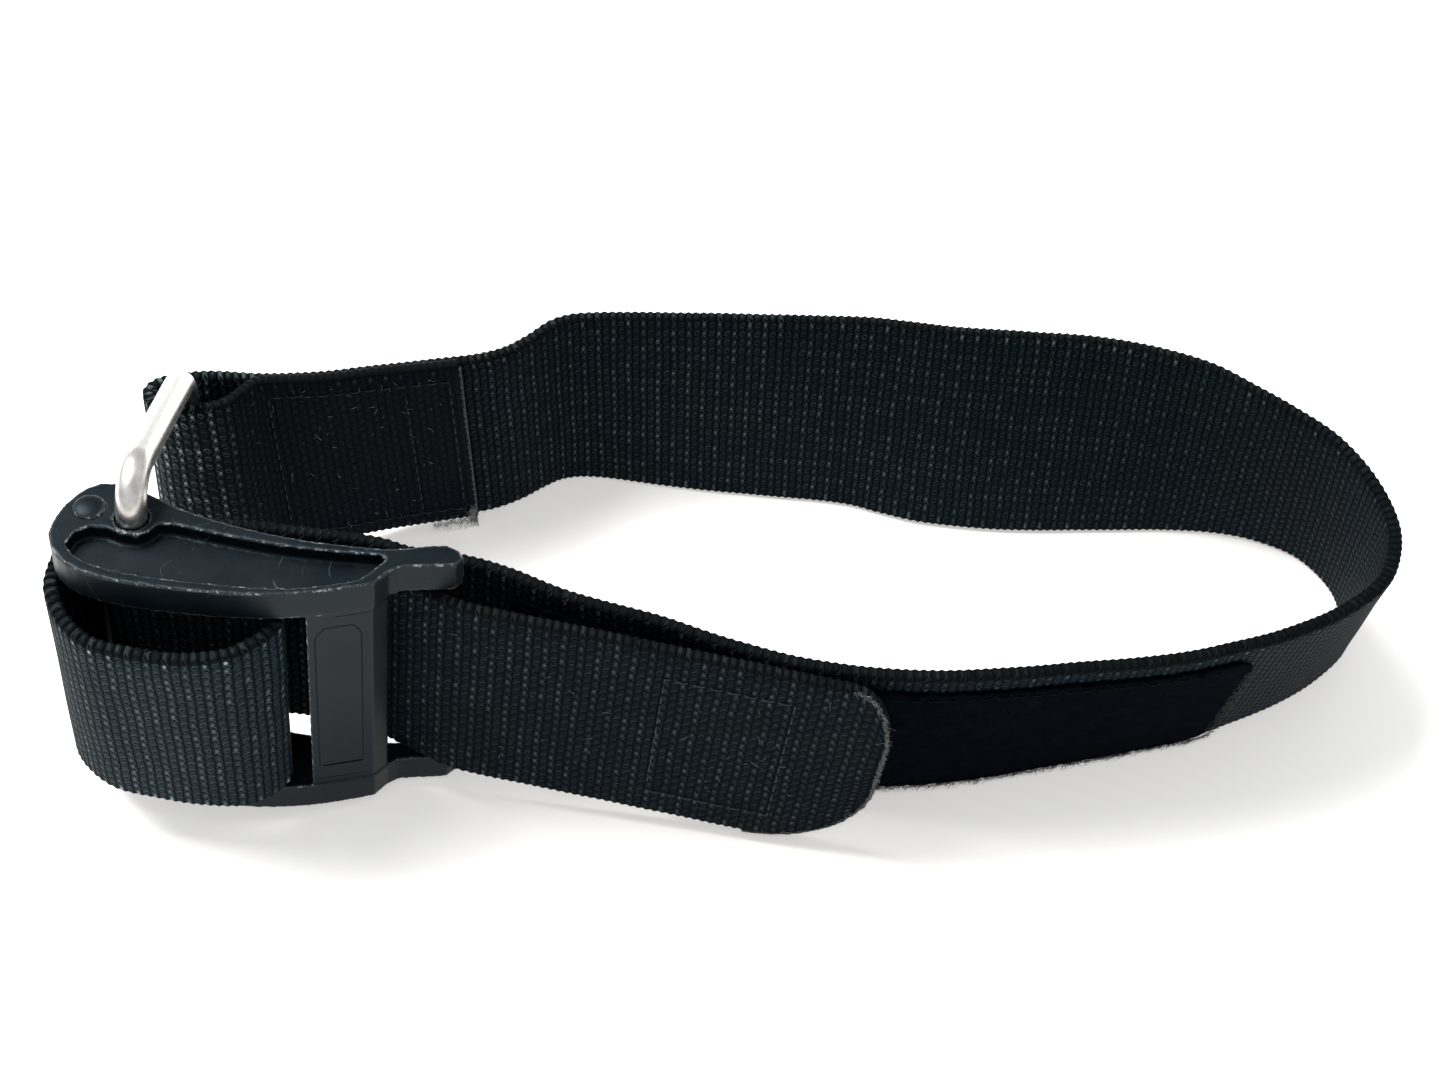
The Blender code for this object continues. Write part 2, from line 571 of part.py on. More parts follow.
def main():
    clear_scene()
    parts = new_collection("cam_buckle_webbing_belt")
    cutters = new_collection("cutters")

    webbing = material("webbing", (0.012, 0.014, 0.015), 0.85)
    loop = material("loop_pile", (0.008, 0.009, 0.012), 0.95)
    hook = material("hook_pile", (0.010, 0.010, 0.011), 0.8)
    thread = material("thread", (0.014, 0.015, 0.016), 0.7)
    plastic = material("moulded_nylon", (0.018, 0.020, 0.022), 0.45)
    steel = material("stainless_wire", (0.62, 0.60, 0.57), 0.28, 1.0)

    frame = buckle_matrix()
    bar = frame @ Matrix.Translation(Vector(BAIL_BAR_LOW) * MM)
    hinge = Matrix.Translation(Vector((*TAIL_HINGE, 0.0)) * MM)
    bail_axis = make_empty("bail_axis", parts, bar)
    lever_axis = make_empty("lever_axis", parts, frame)
    tail_axis = make_empty("tail_axis", parts, frame @ hinge)
    tail_frame = make_empty("tail_frame", parts, hinge.inverted())
    tail_frame.parent = tail_axis

    flap, front = build_belt_webbing(parts, webbing)
    behind = smooth_route(flat_route(BEHIND_ROUTE), STATION_STEP)
    make_webbing("webbing_behind_buckle", section_frames(behind), parts, webbing, lever_axis)
    build_loop_tape(front, parts, loop, thread)
    build_box_stitch(flap, parts, thread)
    build_bail(parts, steel, bail_axis)
    build_lever(parts, cutters, plastic, lever_axis)
    build_end_pin(parts, plastic, lever_axis)
    build_lever_webbing(parts, webbing, lever_axis)
    build_tail(parts, webbing, hook, thread, tail_frame)

    for item in parts.objects:
        if item.type == "MESH":
            smooth_shade(item)


main()
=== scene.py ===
"""Looks of the webbing belt with its cam-lever buckle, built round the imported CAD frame."""

import math

import bmesh
import bpy
import numpy as np
from mathutils import Matrix, Vector


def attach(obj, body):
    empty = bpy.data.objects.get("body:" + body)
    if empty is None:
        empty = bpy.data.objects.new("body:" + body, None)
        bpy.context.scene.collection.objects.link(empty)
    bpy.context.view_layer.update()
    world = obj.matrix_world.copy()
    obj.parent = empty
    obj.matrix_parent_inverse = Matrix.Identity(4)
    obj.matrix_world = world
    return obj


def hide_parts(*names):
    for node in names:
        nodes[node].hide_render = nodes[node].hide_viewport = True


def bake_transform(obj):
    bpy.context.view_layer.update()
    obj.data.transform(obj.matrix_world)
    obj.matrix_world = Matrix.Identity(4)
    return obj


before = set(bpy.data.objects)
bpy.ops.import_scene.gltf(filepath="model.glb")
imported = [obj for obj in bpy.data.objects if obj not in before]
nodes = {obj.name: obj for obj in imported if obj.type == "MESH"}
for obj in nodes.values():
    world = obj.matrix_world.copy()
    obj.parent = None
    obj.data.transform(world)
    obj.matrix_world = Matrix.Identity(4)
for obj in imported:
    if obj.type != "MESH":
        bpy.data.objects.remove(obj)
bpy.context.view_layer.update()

MM = 0.001

# ---- sizes, millimetres ---------------------------------------------------------------------------
WEB_WIDTH, WEB_THICK = 50.0, 2.6
LAYER_GAP = 0.25
RIB_PITCH = 3.13                         # one full turn of the weave along the webbing
CORD_PITCH = 2.3                         # and across it
EDGE_ROUND = 1.0
STEP = RIB_PITCH / 8                     # spacing of the webbing's sections
TAPE_LOW, TAPE_HIGH, TAPE_THICK = 2.6, 45.3, 0.9
PIN_REACH = 5.0 - WEB_THICK / 2          # from the end pin's axis to the middle of the webbing

# ---- the buckle's own frame, which starts at the lever's pivot ------------------------------------
BUCKLE_TILT = 5.7
PIVOT = (-114.2, -30.6, 6.5)
BUCKLE_HEIGHT = 65.0
SLOT_REST = 7.5                          # webbing's lower edge above the bottom plate's outer face
END_PIN = (-7.4, 1.1)
CAM_BAR, CAM_HALF = (2.2, -2.6), (5.1, 5.9)
WIRE_RADIUS = 2.65
BAIL_CORNERS = [
    (0.0, 0.0, 60.2), (0.0, 0.0, 73.8), (-1.6, 44.2, 54.1), (2.2, 43.6, -2.6), (0.0, 0.0, -3.9),
    (0.0, 0.0, 4.8),
]
BAIL_BENDS = (5.5, 5.0, 5.0, 3.6)        # bend radius at each inner corner
HANDLE_FACE = (31.2, -12.1), (42.1, -8.8)     # the handle's outer face, seen from above
PIN_RADIUS, PIN_NECK, DOME_RISE = 2.75, 2.10, 0.88
TAIL_HINGE_X, TAIL_HINGE_Y = 47.4, -2.3
BUCKLE = Matrix.Translation(Vector(PIVOT)) @ Matrix.Rotation(math.radians(BUCKLE_TILT), 4, "Y")

# ---- webbing route: x, y of the lower edge, x and y shift of the upper edge, height ---------------
SEWN_LOOP_ROUTE = [
    (-98.2, 18.7, 0.7, -1.0, 7.6), (-101.2, 14.7, 1.4, -0.2, 7.8), (-104.6, 10.6, 2.2, 0.6, 8.0),
    (-110.2, 8.2, 2.2, 0.8, 8.0), (-116.6, 8.9, 2.8, 0.9, 7.8), (-120.4, 12.0, 3.2, 1.4, 7.4),
    (-119.0, 15.6, 2.8, 1.2, 7.0), (-113.4, 18.4, 1.6, 0.5, 6.7), (-107.0, 19.9, 1.0, 0.0, 6.5),
]
BACK_LEFT_ROUTE = [
    (-97.0, 22.5, 0.5, -1.2, 5.0), (-87.0, 26.8, 0.0, -2.8, 3.5), (-77.0, 31.5, 0.0, -3.6, 2.0),
    (-67.0, 35.3, 0.0, -3.9, 0.8), (-58.0, 38.5, 0.0, -4.2, 0.1), (-52.0, 42.0, 0.0, -5.0, 0.0),
    (-47.5, 45.7, 0.0, -4.8, 0.0), (-42.5, 48.8, 0.0, -2.8, 0.0),
]
BACK_ROUTE = [
    (-35.0, 49.6, 0.0, -1.4, 0.0), (-17.0, 47.4, 0.0, 2.0, 0.0), (1.0, 46.0, 0.0, 4.2, 0.0),
    (19.0, 44.6, 0.5, 6.3, 0.0), (28.0, 42.0, 1.0, 8.6, 0.0), (38.0, 39.6, 0.5, 10.3, 0.0),
    (54.0, 38.6, 0.0, 10.9, 0.0), (71.0, 39.5, 0.0, 8.6, 0.0),
]
RIGHT_ROUTE = [
    (89.0, 41.0, -1.0, 1.6, 0.0), (101.0, 40.9, -2.5, -5.3, 0.0), (111.0, 38.9, -5.0, -9.0, 0.0),
    (119.7, 34.1, -6.5, -11.0, 0.0), (125.2, 25.6, -6.5, -13.0, 0.0), (126.2, 16.6, -5.5, -14.5, 0.0),
    (123.2, 8.1, -4.0, -14.7, 0.0), (117.2, 1.6, -2.0, -15.2, 0.0), (108.7, -4.8, -1.5, -15.4, 0.0),
    (98.7, -10.2, -0.5, -15.0, 0.0), (88.2, -15.0, 0.0, -14.3, 0.0),
]
FRONT_ROUTE = [
    (74.7, -19.0, 0.5, -14.2, 0.0), (58.2, -23.5, 0.5, -12.7, 0.0), (42.2, -27.6, 0.5, -11.2, 0.0),
    (27.2, -29.8, 0.0, -10.3, 0.0), (11.2, -30.6, 0.0, -8.6, 0.2), (-3.8, -30.1, 0.0, -6.2, 1.0),
    (-18.8, -28.6, 0.5, -4.2, 3.0), (-34.8, -26.4, 1.5, -3.9, 5.2), (-47.8, -25.0, 3.5, -1.8, 6.8),
    (-56.8, -24.4, 5.0, -1.0, 8.2),
]
BEHIND_ROUTE = [(47.0, 5.8), (41.0, 7.2), (33.0, 7.7), (20.0, 7.8), (9.8, 7.4), (3.4, 6.8), (-2.0, 6.0)]
SLACK_ROUTE = [
    (-12.5, -6.2, 0.0, 0.0), (-11.9, -10.2, 0.0, -0.6), (-8.6, -14.0, 0.0, -2.8),
    (-3.5, -17.0, 0.0, -4.0), (3.4, -18.0, 0.0, -4.4), (11.0, -18.7, 0.0, -4.0),
    (18.4, -18.2, 0.0, -3.0), (22.5, -16.5, 0.0, -2.0), (25.5, -13.5, 0.4, -0.8),
    (26.0, -10.8, 0.0, 0.0), (24.2, -8.6, 0.0, 0.0), (20.6, -8.3, 0.0, 0.0), (12.0, -8.5, 0.0, 0.0),
]
RETURN_ROUTE = [(8.0, 3.9), (20.0, 3.9), (31.0, 3.6), (38.0, 2.4), (43.5, 0.8), (47.4, -1.0)]
TAIL_ROUTE = [(52.5, -3.2), (58.5, -5.4), (80.0, -8.2), (104.0, -11.3), (126.3, -14.2)]
TAIL_ROUND = 9.5                         # the tail's rounded end stands this far past its last station
TAIL_UPPER, TAIL_LOWER = (TAIL_ROUND, 0.32), (24.0, 0.46)   # its corners: length and sharpness
FLAP_END, FLAP_RAISED = -61.5, 2.4       # the folded-back webbing's cut end, in x, and its raise
TAPE_START, TAPE_END = 91.5, -46.5       # loop tape along the front run, in x
TAPE_CORNER, TAPE_CUT_UPPER, TAPE_CUT_LOWER = 6.0, 7.0, 3.5     # round corners of its right end
HOOK_START, HOOK_END = 94.0, 117.0       # hook tape along the tail, in the buckle's x
HOOK_LOW, HOOK_HIGH = 6.0, 44.0
BOX_NEAR, BOX_ROW, BOX_INSET = 2.4, 9.0, 4.5     # box stitch: first row, second row, from the edges
HINGE_HALF, HINGE_BEND = 4.2, 3.6        # half the stretch at the tail's hinge, and half of its bend

# ---- camera ---------------------------------------------------------------------------------------
CAMERA_PLACE, CAMERA_TILT, CAMERA_ROLL = (-6.8, -254.4, 329.1), 41.0, 2.5
LENS, SENSOR = 49.83, 36.0


# ---- shader nodes ---------------------------------------------------------------------------------
class Paint:
    """One material and short ways to add and link its nodes."""

    def __init__(self, name, colour=(0.5, 0.5, 0.5), roughness=0.5, metallic=0.0):
        self.material = bpy.data.materials.new(name)
        self.material.use_nodes = True
        self.tree = self.material.node_tree
        self.shader = self.tree.nodes["Principled BSDF"]
        self.set("Base Color", (*colour, 1.0))
        self.set("Roughness", roughness)
        self.set("Metallic", metallic)

    def set(self, socket, value):
        if isinstance(value, bpy.types.NodeSocket):
            self.tree.links.new(value, self.shader.inputs[socket])
        else:
            self.shader.inputs[socket].default_value = value

    def add(self, kind, inputs=None, **settings):
        node = self.tree.nodes.new(kind)
        for key, value in settings.items():
            setattr(node, key, value)
        for key, value in (inputs or {}).items():
            if isinstance(value, bpy.types.NodeSocket):
                self.tree.links.new(value, node.inputs[key])
            else:
                node.inputs[key].default_value = value
        return node

    def math(self, operation, *values, clamp=False):
        inputs = dict(enumerate(values))
        return self.add("ShaderNodeMath", inputs, operation=operation, use_clamp=clamp).outputs[0]

    def times(self, *values):
        result = values[0]
        for value in values[1:]:
            result = self.math("MULTIPLY", result, value)
        return result

    def plus(self, *values):
        result = values[0]
        for value in values[1:]:
            result = self.math("ADD", result, value)
        return result

    def span(self, value, low, high, to_low=0.0, to_high=1.0):
        """The value's place between low and high, eased and clamped."""
        inputs = {"Value": value, "From Min": low, "From Max": high, "To Min": to_low, "To Max": to_high}
        node = self.add("ShaderNodeMapRange", inputs, interpolation_type="SMOOTHSTEP")
        return node.outputs["Result"]

    def mix(self, factor, first, second):
        def full(colour):
            return colour if isinstance(colour, bpy.types.NodeSocket) else (*colour, 1.0)
        node = self.add("ShaderNodeMix", data_type="RGBA")
        for key, value in ((0, factor), (6, full(first)), (7, full(second))):
            if isinstance(value, bpy.types.NodeSocket):
                self.tree.links.new(value, node.inputs[key])
            else:
                node.inputs[key].default_value = value
        return node.outputs[2]

    def noise(self, vector, scale, detail=2.0, roughness=0.5):
        inputs = {"Vector": vector, "Scale": scale, "Detail": detail, "Roughness": roughness}
        return self.add("ShaderNodeTexNoise", inputs).outputs["Fac"]

    def attribute(self, name):
        return self.add("ShaderNodeAttribute", attribute_name=name).outputs["Fac"]

    def place(self):
        return self.add("ShaderNodeTexCoord").outputs["Object"]

    def weave_place(self):
        """Distance along the webbing and across it, in millimetres."""
        split = self.add("ShaderNodeSeparateXYZ", {0: self.add("ShaderNodeUVMap").outputs[0]})
        return split.outputs[0], split.outputs[1]

    def flat(self, u, v):
        return self.add("ShaderNodeCombineXYZ", {"X": u, "Y": v}).outputs[0]

    def bump(self, height, distance, strength=1.0):
        inputs = {"Height": height, "Distance": distance * MM, "Strength": strength}
        self.set("Normal", self.add("ShaderNodeBump", inputs).outputs["Normal"])


def webbing_paint():
    """Coarse webbing: ribs of beaded cord across it, painted glints, painted highlights on the bead
    tops, dark edges and a soft nap.
    """
    p = Paint("webbing", roughness=0.7)
    u, v = p.weave_place()
    worn, painted_glint, nap = p.attribute("worn"), p.attribute("painted_glint"), p.attribute("nap")
    place = p.flat(u, v)
    wander = p.math("SUBTRACT", p.noise(place, 0.12, 3.0), 0.5)
    along = p.math("DIVIDE", p.plus(u, p.times(wander, 0.8)), RIB_PITCH / 2)
    rib = p.math("FLOOR", along)
    within = p.math("SUBTRACT", p.math("FRACT", along), 0.5)
    odd = p.math("MODULO", p.math("ABSOLUTE", rib), 2.0)
    lean = p.math("SUBTRACT", p.times(odd, 2.0), 1.0)
    level = p.plus(p.math("DIVIDE", v, CORD_PITCH), p.times(wander, 0.6))
    across = p.plus(level, p.times(odd, 0.5), p.times(within, lean, 0.42))
    bead = p.math("SQRT", p.math("ABSOLUTE", p.math("SINE", p.times(across, math.pi))))
    ridge = p.math("SQRT", p.math("COSINE", p.times(within, math.pi)))
    relief = p.times(p.plus(0.30, p.times(ridge, 0.70)), p.plus(0.15, p.times(bead, 0.85)))
    fibre = p.noise(p.flat(p.times(u, 2.6), p.times(v, 1.4)), 1.8, 3.0, 0.65)
    calm = p.math("SUBTRACT", 1.0, p.times(nap, 0.75))
    p.bump(p.plus(p.times(relief, calm), p.times(fibre, 0.30)), 0.55, 1.0)

    # Painted glints: light dots on every second rib and fainter crescents, painted into the base colour.
    cell = p.flat(p.math("FLOOR", p.math("DIVIDE", rib, 2.0)), p.math("FLOOR", p.plus(level, 0.5)))
    chance = p.add("ShaderNodeTexWhiteNoise", {"Vector": cell}, noise_dimensions="2D").outputs["Value"]
    row = p.math("SUBTRACT", p.math("FRACT", p.plus(level, 0.5)), 0.5)
    shift = p.times(p.math("SUBTRACT", chance, 0.5), 0.16)
    near = p.span(p.math("ABSOLUTE", row), 0.24, 0.06)
    dot = p.times(odd, p.span(p.math("ABSOLUTE", p.plus(within, shift)), 0.26, 0.08), near)
    lift = p.math("ABSOLUTE", p.math("SUBTRACT", p.math("FRACT", p.plus(across, 0.5)), 0.5))
    arc = p.math("ABSOLUTE", p.plus(lift, p.times(within, within, 1.3), -0.20))
    crescent = p.times(p.span(arc, 0.12, 0.03), p.span(p.math("ABSOLUTE", within), 0.48, 0.30))
    lively = p.times(p.plus(0.25, p.times(p.span(chance, 0.1, 1.0), 0.9)),
                     p.span(fibre, 0.36, 0.60, 0.35, 1.25))
    painted_glint_spots = p.times(p.plus(dot, p.times(crescent, 0.20)), lively, painted_glint, calm)
    dust = p.times(p.span(p.noise(place, 3.4, 2.0, 0.7), 0.58, 0.74), p.plus(0.12, p.times(worn, 0.5)))
    patch = p.span(p.noise(place, 0.035, 3.0), 0.35, 0.7)
    base = p.mix(patch, (0.0003, 0.0020, 0.0056), (0.0005, 0.0026, 0.0040))
    # Painted highlight on the bead tops, stronger where the webbing is worn.
    painted_bead_highlight = p.times(p.math("POWER", relief, 2.2), p.span(fibre, 0.34, 0.62, 0.25, 1.3))
    base = p.mix(p.times(painted_bead_highlight, p.plus(0.025, worn)), base, (0.018, 0.047, 0.058))
    # Painted highlight on the crescents between beads, stronger where worn.
    painted_crescent_highlight = p.times(crescent, p.plus(0.02, worn), p.span(fibre, 0.40, 0.60))
    base = p.mix(painted_crescent_highlight, base, (0.105, 0.150, 0.165))
    base = p.mix(p.times(nap, 0.5), base, (0.0022, 0.0032, 0.0062))
    base = p.mix(p.times(dust, 0.40), base, (0.075, 0.095, 0.105))
    from_middle = p.math("ABSOLUTE", p.math("SUBTRACT", v, WEB_WIDTH / 2))
    base = p.mix(p.times(p.span(from_middle, 23.0, 24.5), 0.80), base, (0.0034, 0.0036, 0.0036))
    # Painted glints in dots along the webbing's edges, stronger where it is worn.
    painted_rim_glint = p.times(odd, p.span(p.math("ABSOLUTE", p.plus(within, shift)), 0.24, 0.08),
                      p.span(p.math("ABSOLUTE", p.math("SUBTRACT", from_middle, 23.5)), 0.55, 0.20))
    painted_rim_glint = p.times(painted_rim_glint, p.span(chance, 0.2, 0.9, 0.1, 1.0), p.span(worn, 0.05, 0.30, 0.12, 1.0))
    base = p.mix(p.math("MAXIMUM", painted_glint_spots, painted_rim_glint), base, (0.30, 0.36, 0.38))
    p.set("Base Color", base)
    p.set("Roughness", p.span(relief, 0.0, 1.0, 0.9, 0.55))
    p.set("Specular IOR Level", 0.034)
    p.set("Specular Tint", (0.62, 0.90, 1.0, 1.0))
    return p.material


def pile_paint():
    """Napped loop tape: matte, blue-black, with a cloudy pile."""
    p = Paint("loop_pile", roughness=0.95)
    place = p.place()
    cloud = p.noise(place, 260.0, 4.0, 0.7)
    tuft = p.noise(place, 1900.0, 2.0, 0.6)
    p.bump(p.plus(p.times(cloud, 0.5), tuft), 0.35, 0.9)
    base = p.mix(p.span(cloud, 0.35, 0.7), (0.0003, 0.0009, 0.0024), (0.0009, 0.0024, 0.0050))
    base = p.mix(p.times(p.span(tuft, 0.60, 0.78), 0.22), base, (0.016, 0.026, 0.040))
    p.set("Base Color", base)
    p.set("Specular IOR Level", 0.01)
    return p.material


def hook_paint():
    """Hook tape: rows of stiff hooks."""
    p = Paint("hook_pile", roughness=0.6)
    u, v = p.weave_place()
    rows = p.times(p.math("COSINE", p.times(u, 5.2)), p.math("COSINE", p.times(v, 3.4)))
    p.bump(p.span(rows, 0.0, 1.0), 0.5)
    p.set("Base Color", p.mix(p.span(rows, 0.2, 1.0), (0.001, 0.0016, 0.0024), (0.007, 0.009, 0.011)))
    p.set("Specular IOR Level", 0.05)
    return p.material


def thread_paint(name, shade):
    """Bonded sewing thread with a twist."""
    p = Paint(name, roughness=0.5)
    place = p.place()
    twist = p.noise(place, 2600.0, 2.0)
    p.bump(twist, 0.1)
    light = tuple(shade * part for part in (0.030, 0.042, 0.052))
    p.set("Base Color", p.mix(p.span(twist, 0.3, 0.7), tuple(part / 6 for part in light), light))
    p.set("Specular IOR Level", 0.15 * shade)
    return p.material


def nylon_paint():
    """Moulded nylon, satin black, with a fine texture, a painted highlight along its edges, rubbed edges
    and hairline scratches.
    """
    p = Paint("moulded_nylon", roughness=0.42)
    place = p.place()
    edge = p.add("ShaderNodeNewGeometry").outputs["Pointiness"]
    grain = p.noise(place, 2200.0, 2.0, 0.6)
    cloud = p.noise(place, 90.0, 4.0, 0.6)
    nick = p.noise(place, 700.0, 4.0, 0.8)
    rub = p.times(p.span(edge, 0.515, 0.56), p.span(nick, 0.50, 0.62))
    # Painted highlight along every convex edge.
    painted_edge_highlight = p.span(edge, 0.505, 0.545)
    lines = []
    for scale, turn in ((55.0, 0.3), (80.0, 1.4), (38.0, 2.2)):
        turned = p.add("ShaderNodeMapping", {"Vector": place, "Rotation": (0.0, 0.0, turn)}).outputs[0]
        wave = p.math("ABSOLUTE", p.math("SUBTRACT", p.noise(turned, scale, 1.0), 0.5))
        broken = p.span(p.noise(place, 3.0 * scale, 2.0), 0.54, 0.62)
        lines.append(p.times(p.span(wave, 0.0022, 0.0006), broken))
    top = p.span(p.add("ShaderNodeSeparateXYZ", {0: place}).outputs[2], 0.058, 0.064)
    scratch = p.times(p.math("MAXIMUM", lines[0], p.math("MAXIMUM", lines[1], lines[2])), top)
    p.bump(p.plus(p.times(grain, 0.5), p.times(nick, 0.25), p.times(scratch, -0.5)), 0.06, 0.6)
    base = p.mix(p.span(cloud, 0.3, 0.7), (0.0016, 0.0032, 0.0052), (0.0030, 0.0050, 0.0072))
    base = p.mix(p.times(painted_edge_highlight, 0.42), base, (0.050, 0.062, 0.070))
    base = p.mix(p.times(scratch, 0.45), base, (0.075, 0.088, 0.098))
    base = p.mix(p.times(rub, 0.85), base, (0.40, 0.41, 0.41))
    p.set("Base Color", base)
    p.set("Roughness", p.plus(p.span(cloud, 0.3, 0.7, 0.32, 0.44), p.times(rub, 0.15)))
    p.set("Specular IOR Level", 0.145)
    p.set("Specular Tint", (0.66, 0.88, 1.0, 1.0))
    return p.material


def steel_paint():
    """Drawn stainless wire, bright, with drawing lines and a brownish painted shade and reflection near
    the lever.
    """
    p = Paint("stainless_wire", roughness=0.25, metallic=1.0)
    u, v = p.weave_place()
    lines = p.noise(p.flat(p.times(u, 0.12), p.times(v, 4.0)), 2.4, 4.0, 0.7)
    # Brownish painted shade and reflection of the lever, strongest at the wire's ends by the lever.
    painted_lever_shade = p.times(p.attribute("painted_lever_shade"), p.span(p.noise(p.flat(u, v), 0.45, 3.0), 0.35, 0.65))
    base = p.mix(p.span(lines, 0.35, 0.7), (0.80, 0.785, 0.755), (0.92, 0.905, 0.87))
    base = p.mix(p.times(painted_lever_shade, 0.70), base, (0.42, 0.345, 0.30))
    p.set("Base Color", base)
    p.set("Roughness", p.span(lines, 0.3, 0.75, 0.24, 0.40))
    p.bump(lines, 0.03, 0.5)
    return p.material


def lint_paint(name, colour):
    """Loose fibre, lighter and darker along its length."""
    p = Paint(name, colour, 0.8)
    p.set("Base Color", p.mix(p.noise(p.place(), 900.0), colour, tuple(c * 0.45 for c in colour)))
    p.set("Sheen Weight", 0.08)
    return p.material


# ---- routes ---------------------------------------------------------------------------------------
def catmull(rows, pieces):
    """Points on a smooth curve through rows of numbers, pieces to each span."""
    rows = np.asarray(rows, float)
    padded = np.vstack([2 * rows[0] - rows[1], rows, 2 * rows[-1] - rows[-2]])
    t = (np.arange(pieces) / pieces)[:, None]
    result = []
    for a, b, c, d in zip(padded, padded[1:], padded[2:], padded[3:]):
        result.append(0.5 * (2 * b + (c - a) * t + (2 * a - 5 * b + 4 * c - d) * t ** 2
                             + (3 * b - a - 3 * c + d) * t ** 3))
    return np.vstack([*result, rows[-1:]])


def upright(stations):
    """Lower edge and upward direction of each station on the floor, six numbers a row."""
    rows = []
    for x, y, dx, dy, rise in stations:
        lean = math.hypot(dx, dy) / WEB_WIDTH
        rows.append((x, y, rise + lean * WEB_THICK / 2, dx / WEB_WIDTH, dy / WEB_WIDTH,
                     math.sqrt(1 - lean ** 2)))
    return rows


def in_buckle(points):
    """The same for points in the buckle's frame."""
    rows = []
    for x, y, *shift in points:
        dx, dy = shift or (0.0, 0.0)
        up = Vector((dx / WEB_WIDTH, dy / WEB_WIDTH, 1.0)).normalized()
        rows.append((*(BUCKLE @ Vector((x, y, SLOT_REST))), *(BUCKLE.to_3x3() @ up)))
    return rows


def turn_round(centre, half, radius, start, end, step):
    """Points round a rounded box, from start to end in degrees."""
    points = []
    for degrees in np.linspace(start, end, max(2, round(abs(end - start) / step)) + 1):
        cos, sin = math.cos(math.radians(degrees)), math.sin(math.radians(degrees))
        flat_x = math.copysign(half[0] - radius, cos) * min(1.0, abs(cos) * 4)
        flat_y = math.copysign(half[1] - radius, sin) * min(1.0, abs(sin) * 4)
        points.append((centre[0] + flat_x + radius * cos, centre[1] + flat_y + radius * sin))
    return points


class Run:
    """A strip's sections: lower edge, upward direction, normal and distance along it, in millimetres."""

    def __init__(self, rows):
        rows = catmull(rows, 24)
        middle = rows[:, :3] + rows[:, 3:] * WEB_WIDTH / 2
        gone = np.concatenate([[0.0], np.cumsum(np.linalg.norm(np.diff(middle, axis=0), axis=1))])
        self.u = np.arange(0.0, gone[-1], STEP)
        even = np.column_stack([np.interp(self.u, gone, column) for column in rows.T])
        even = ease(even, 3)
        self.low = even[:, :3]
        self.up = even[:, 3:] / np.linalg.norm(even[:, 3:], axis=1)[:, None]
        ahead = np.gradient(self.low + self.up * WEB_WIDTH / 2, axis=0)
        normal = np.cross(ahead, self.up)
        self.normal = normal / np.linalg.norm(normal, axis=1)[:, None]

    def at(self, u, v=0.0, n=0.0):
        """Points at distances u along, v across and n out of the strip's middle."""
        u, v, n = np.broadcast_arrays(np.asarray(u, float), v, n)
        low, up, normal = (np.stack([np.interp(u, self.u, column) for column in part.T], -1)
                           for part in (self.low, self.up, self.normal))
        return low + up * v[..., None] + normal * n[..., None]

    def where(self, point):
        """Distance along to the section nearest a point on the lower edge."""
        gaps = np.linalg.norm(self.low - np.asarray(point, float), axis=1)
        return self.u[int(np.argmin(gaps))]


def ease(rows, rounds):
    """Rows averaged with their neighbours, ends kept."""
    rows = rows.copy()
    for _ in range(rounds):
        rows[1:-1] = 0.25 * rows[:-2] + 0.5 * rows[1:-1] + 0.25 * rows[2:]
    return rows


def strap_run():
    """The whole strap: flap, loop round the bail, belt, buckle turns and tail."""
    back_left = Run(upright(BACK_LEFT_ROUTE))
    flap_u = np.arange(back_left.where(upright([(FLAP_END, 37.3, 0, -4.1, 0.4)])[0][:3]), 1.0, -4.0)
    flap_low = back_left.at(flap_u, FLAP_RAISED, WEB_THICK + LAYER_GAP)
    flap_up = back_left.at(flap_u, FLAP_RAISED + 1.0, WEB_THICK + LAYER_GAP) - flap_low
    flap = list(np.hstack([flap_low, flap_up]))
    belt = upright(SEWN_LOOP_ROUTE + BACK_LEFT_ROUTE + BACK_ROUTE + RIGHT_ROUTE + FRONT_ROUTE)
    wrap = turn_round(END_PIN, (PIN_REACH, PIN_REACH), PIN_REACH, 95.0, 180.0, 15.0)
    turn = turn_round(CAM_BAR, CAM_HALF, 4.2, 250.0, 110.0, 14.0)
    buckle = [*BEHIND_ROUTE, *wrap, (-12.2, -2.4), *SLACK_ROUTE, *turn, *RETURN_ROUTE, *TAIL_ROUTE]
    last, before = TAIL_ROUTE[-1], TAIL_ROUTE[-2]
    ahead = (Vector(last) - Vector(before)).normalized() * TAIL_ROUND
    buckle.append(tuple(Vector(last) + ahead))
    return Run(flap + belt + in_buckle(buckle))


# ---- meshes ---------------------------------------------------------------------------------------
def make_piece(name, points, faces, finish, uv=None, attributes=None):
    """Mesh object from points in millimetres, with uv a pair for each face corner."""
    mesh = bpy.data.meshes.new(name)
    mesh.from_pydata((np.asarray(points) * MM).tolist(), [], [tuple(f) for f in faces])
    if uv is not None:
        layer = mesh.uv_layers.new(name="UVMap")
        layer.data.foreach_set("uv", np.asarray(uv, np.float32).ravel())
    for key, values in (attributes or {}).items():
        layer = mesh.attributes.new(key, "FLOAT", "POINT")
        layer.data.foreach_set("value", np.asarray(values, np.float32))
    mesh.validate()
    mesh.update()
    mesh.shade_smooth()
    for face in mesh.polygons:
        if len(face.vertices) > 4:
            face.use_smooth = False
    mesh.materials.append(finish)
    item = bpy.data.objects.new(name, mesh)
    bpy.context.scene.collection.objects.link(item)
    return item


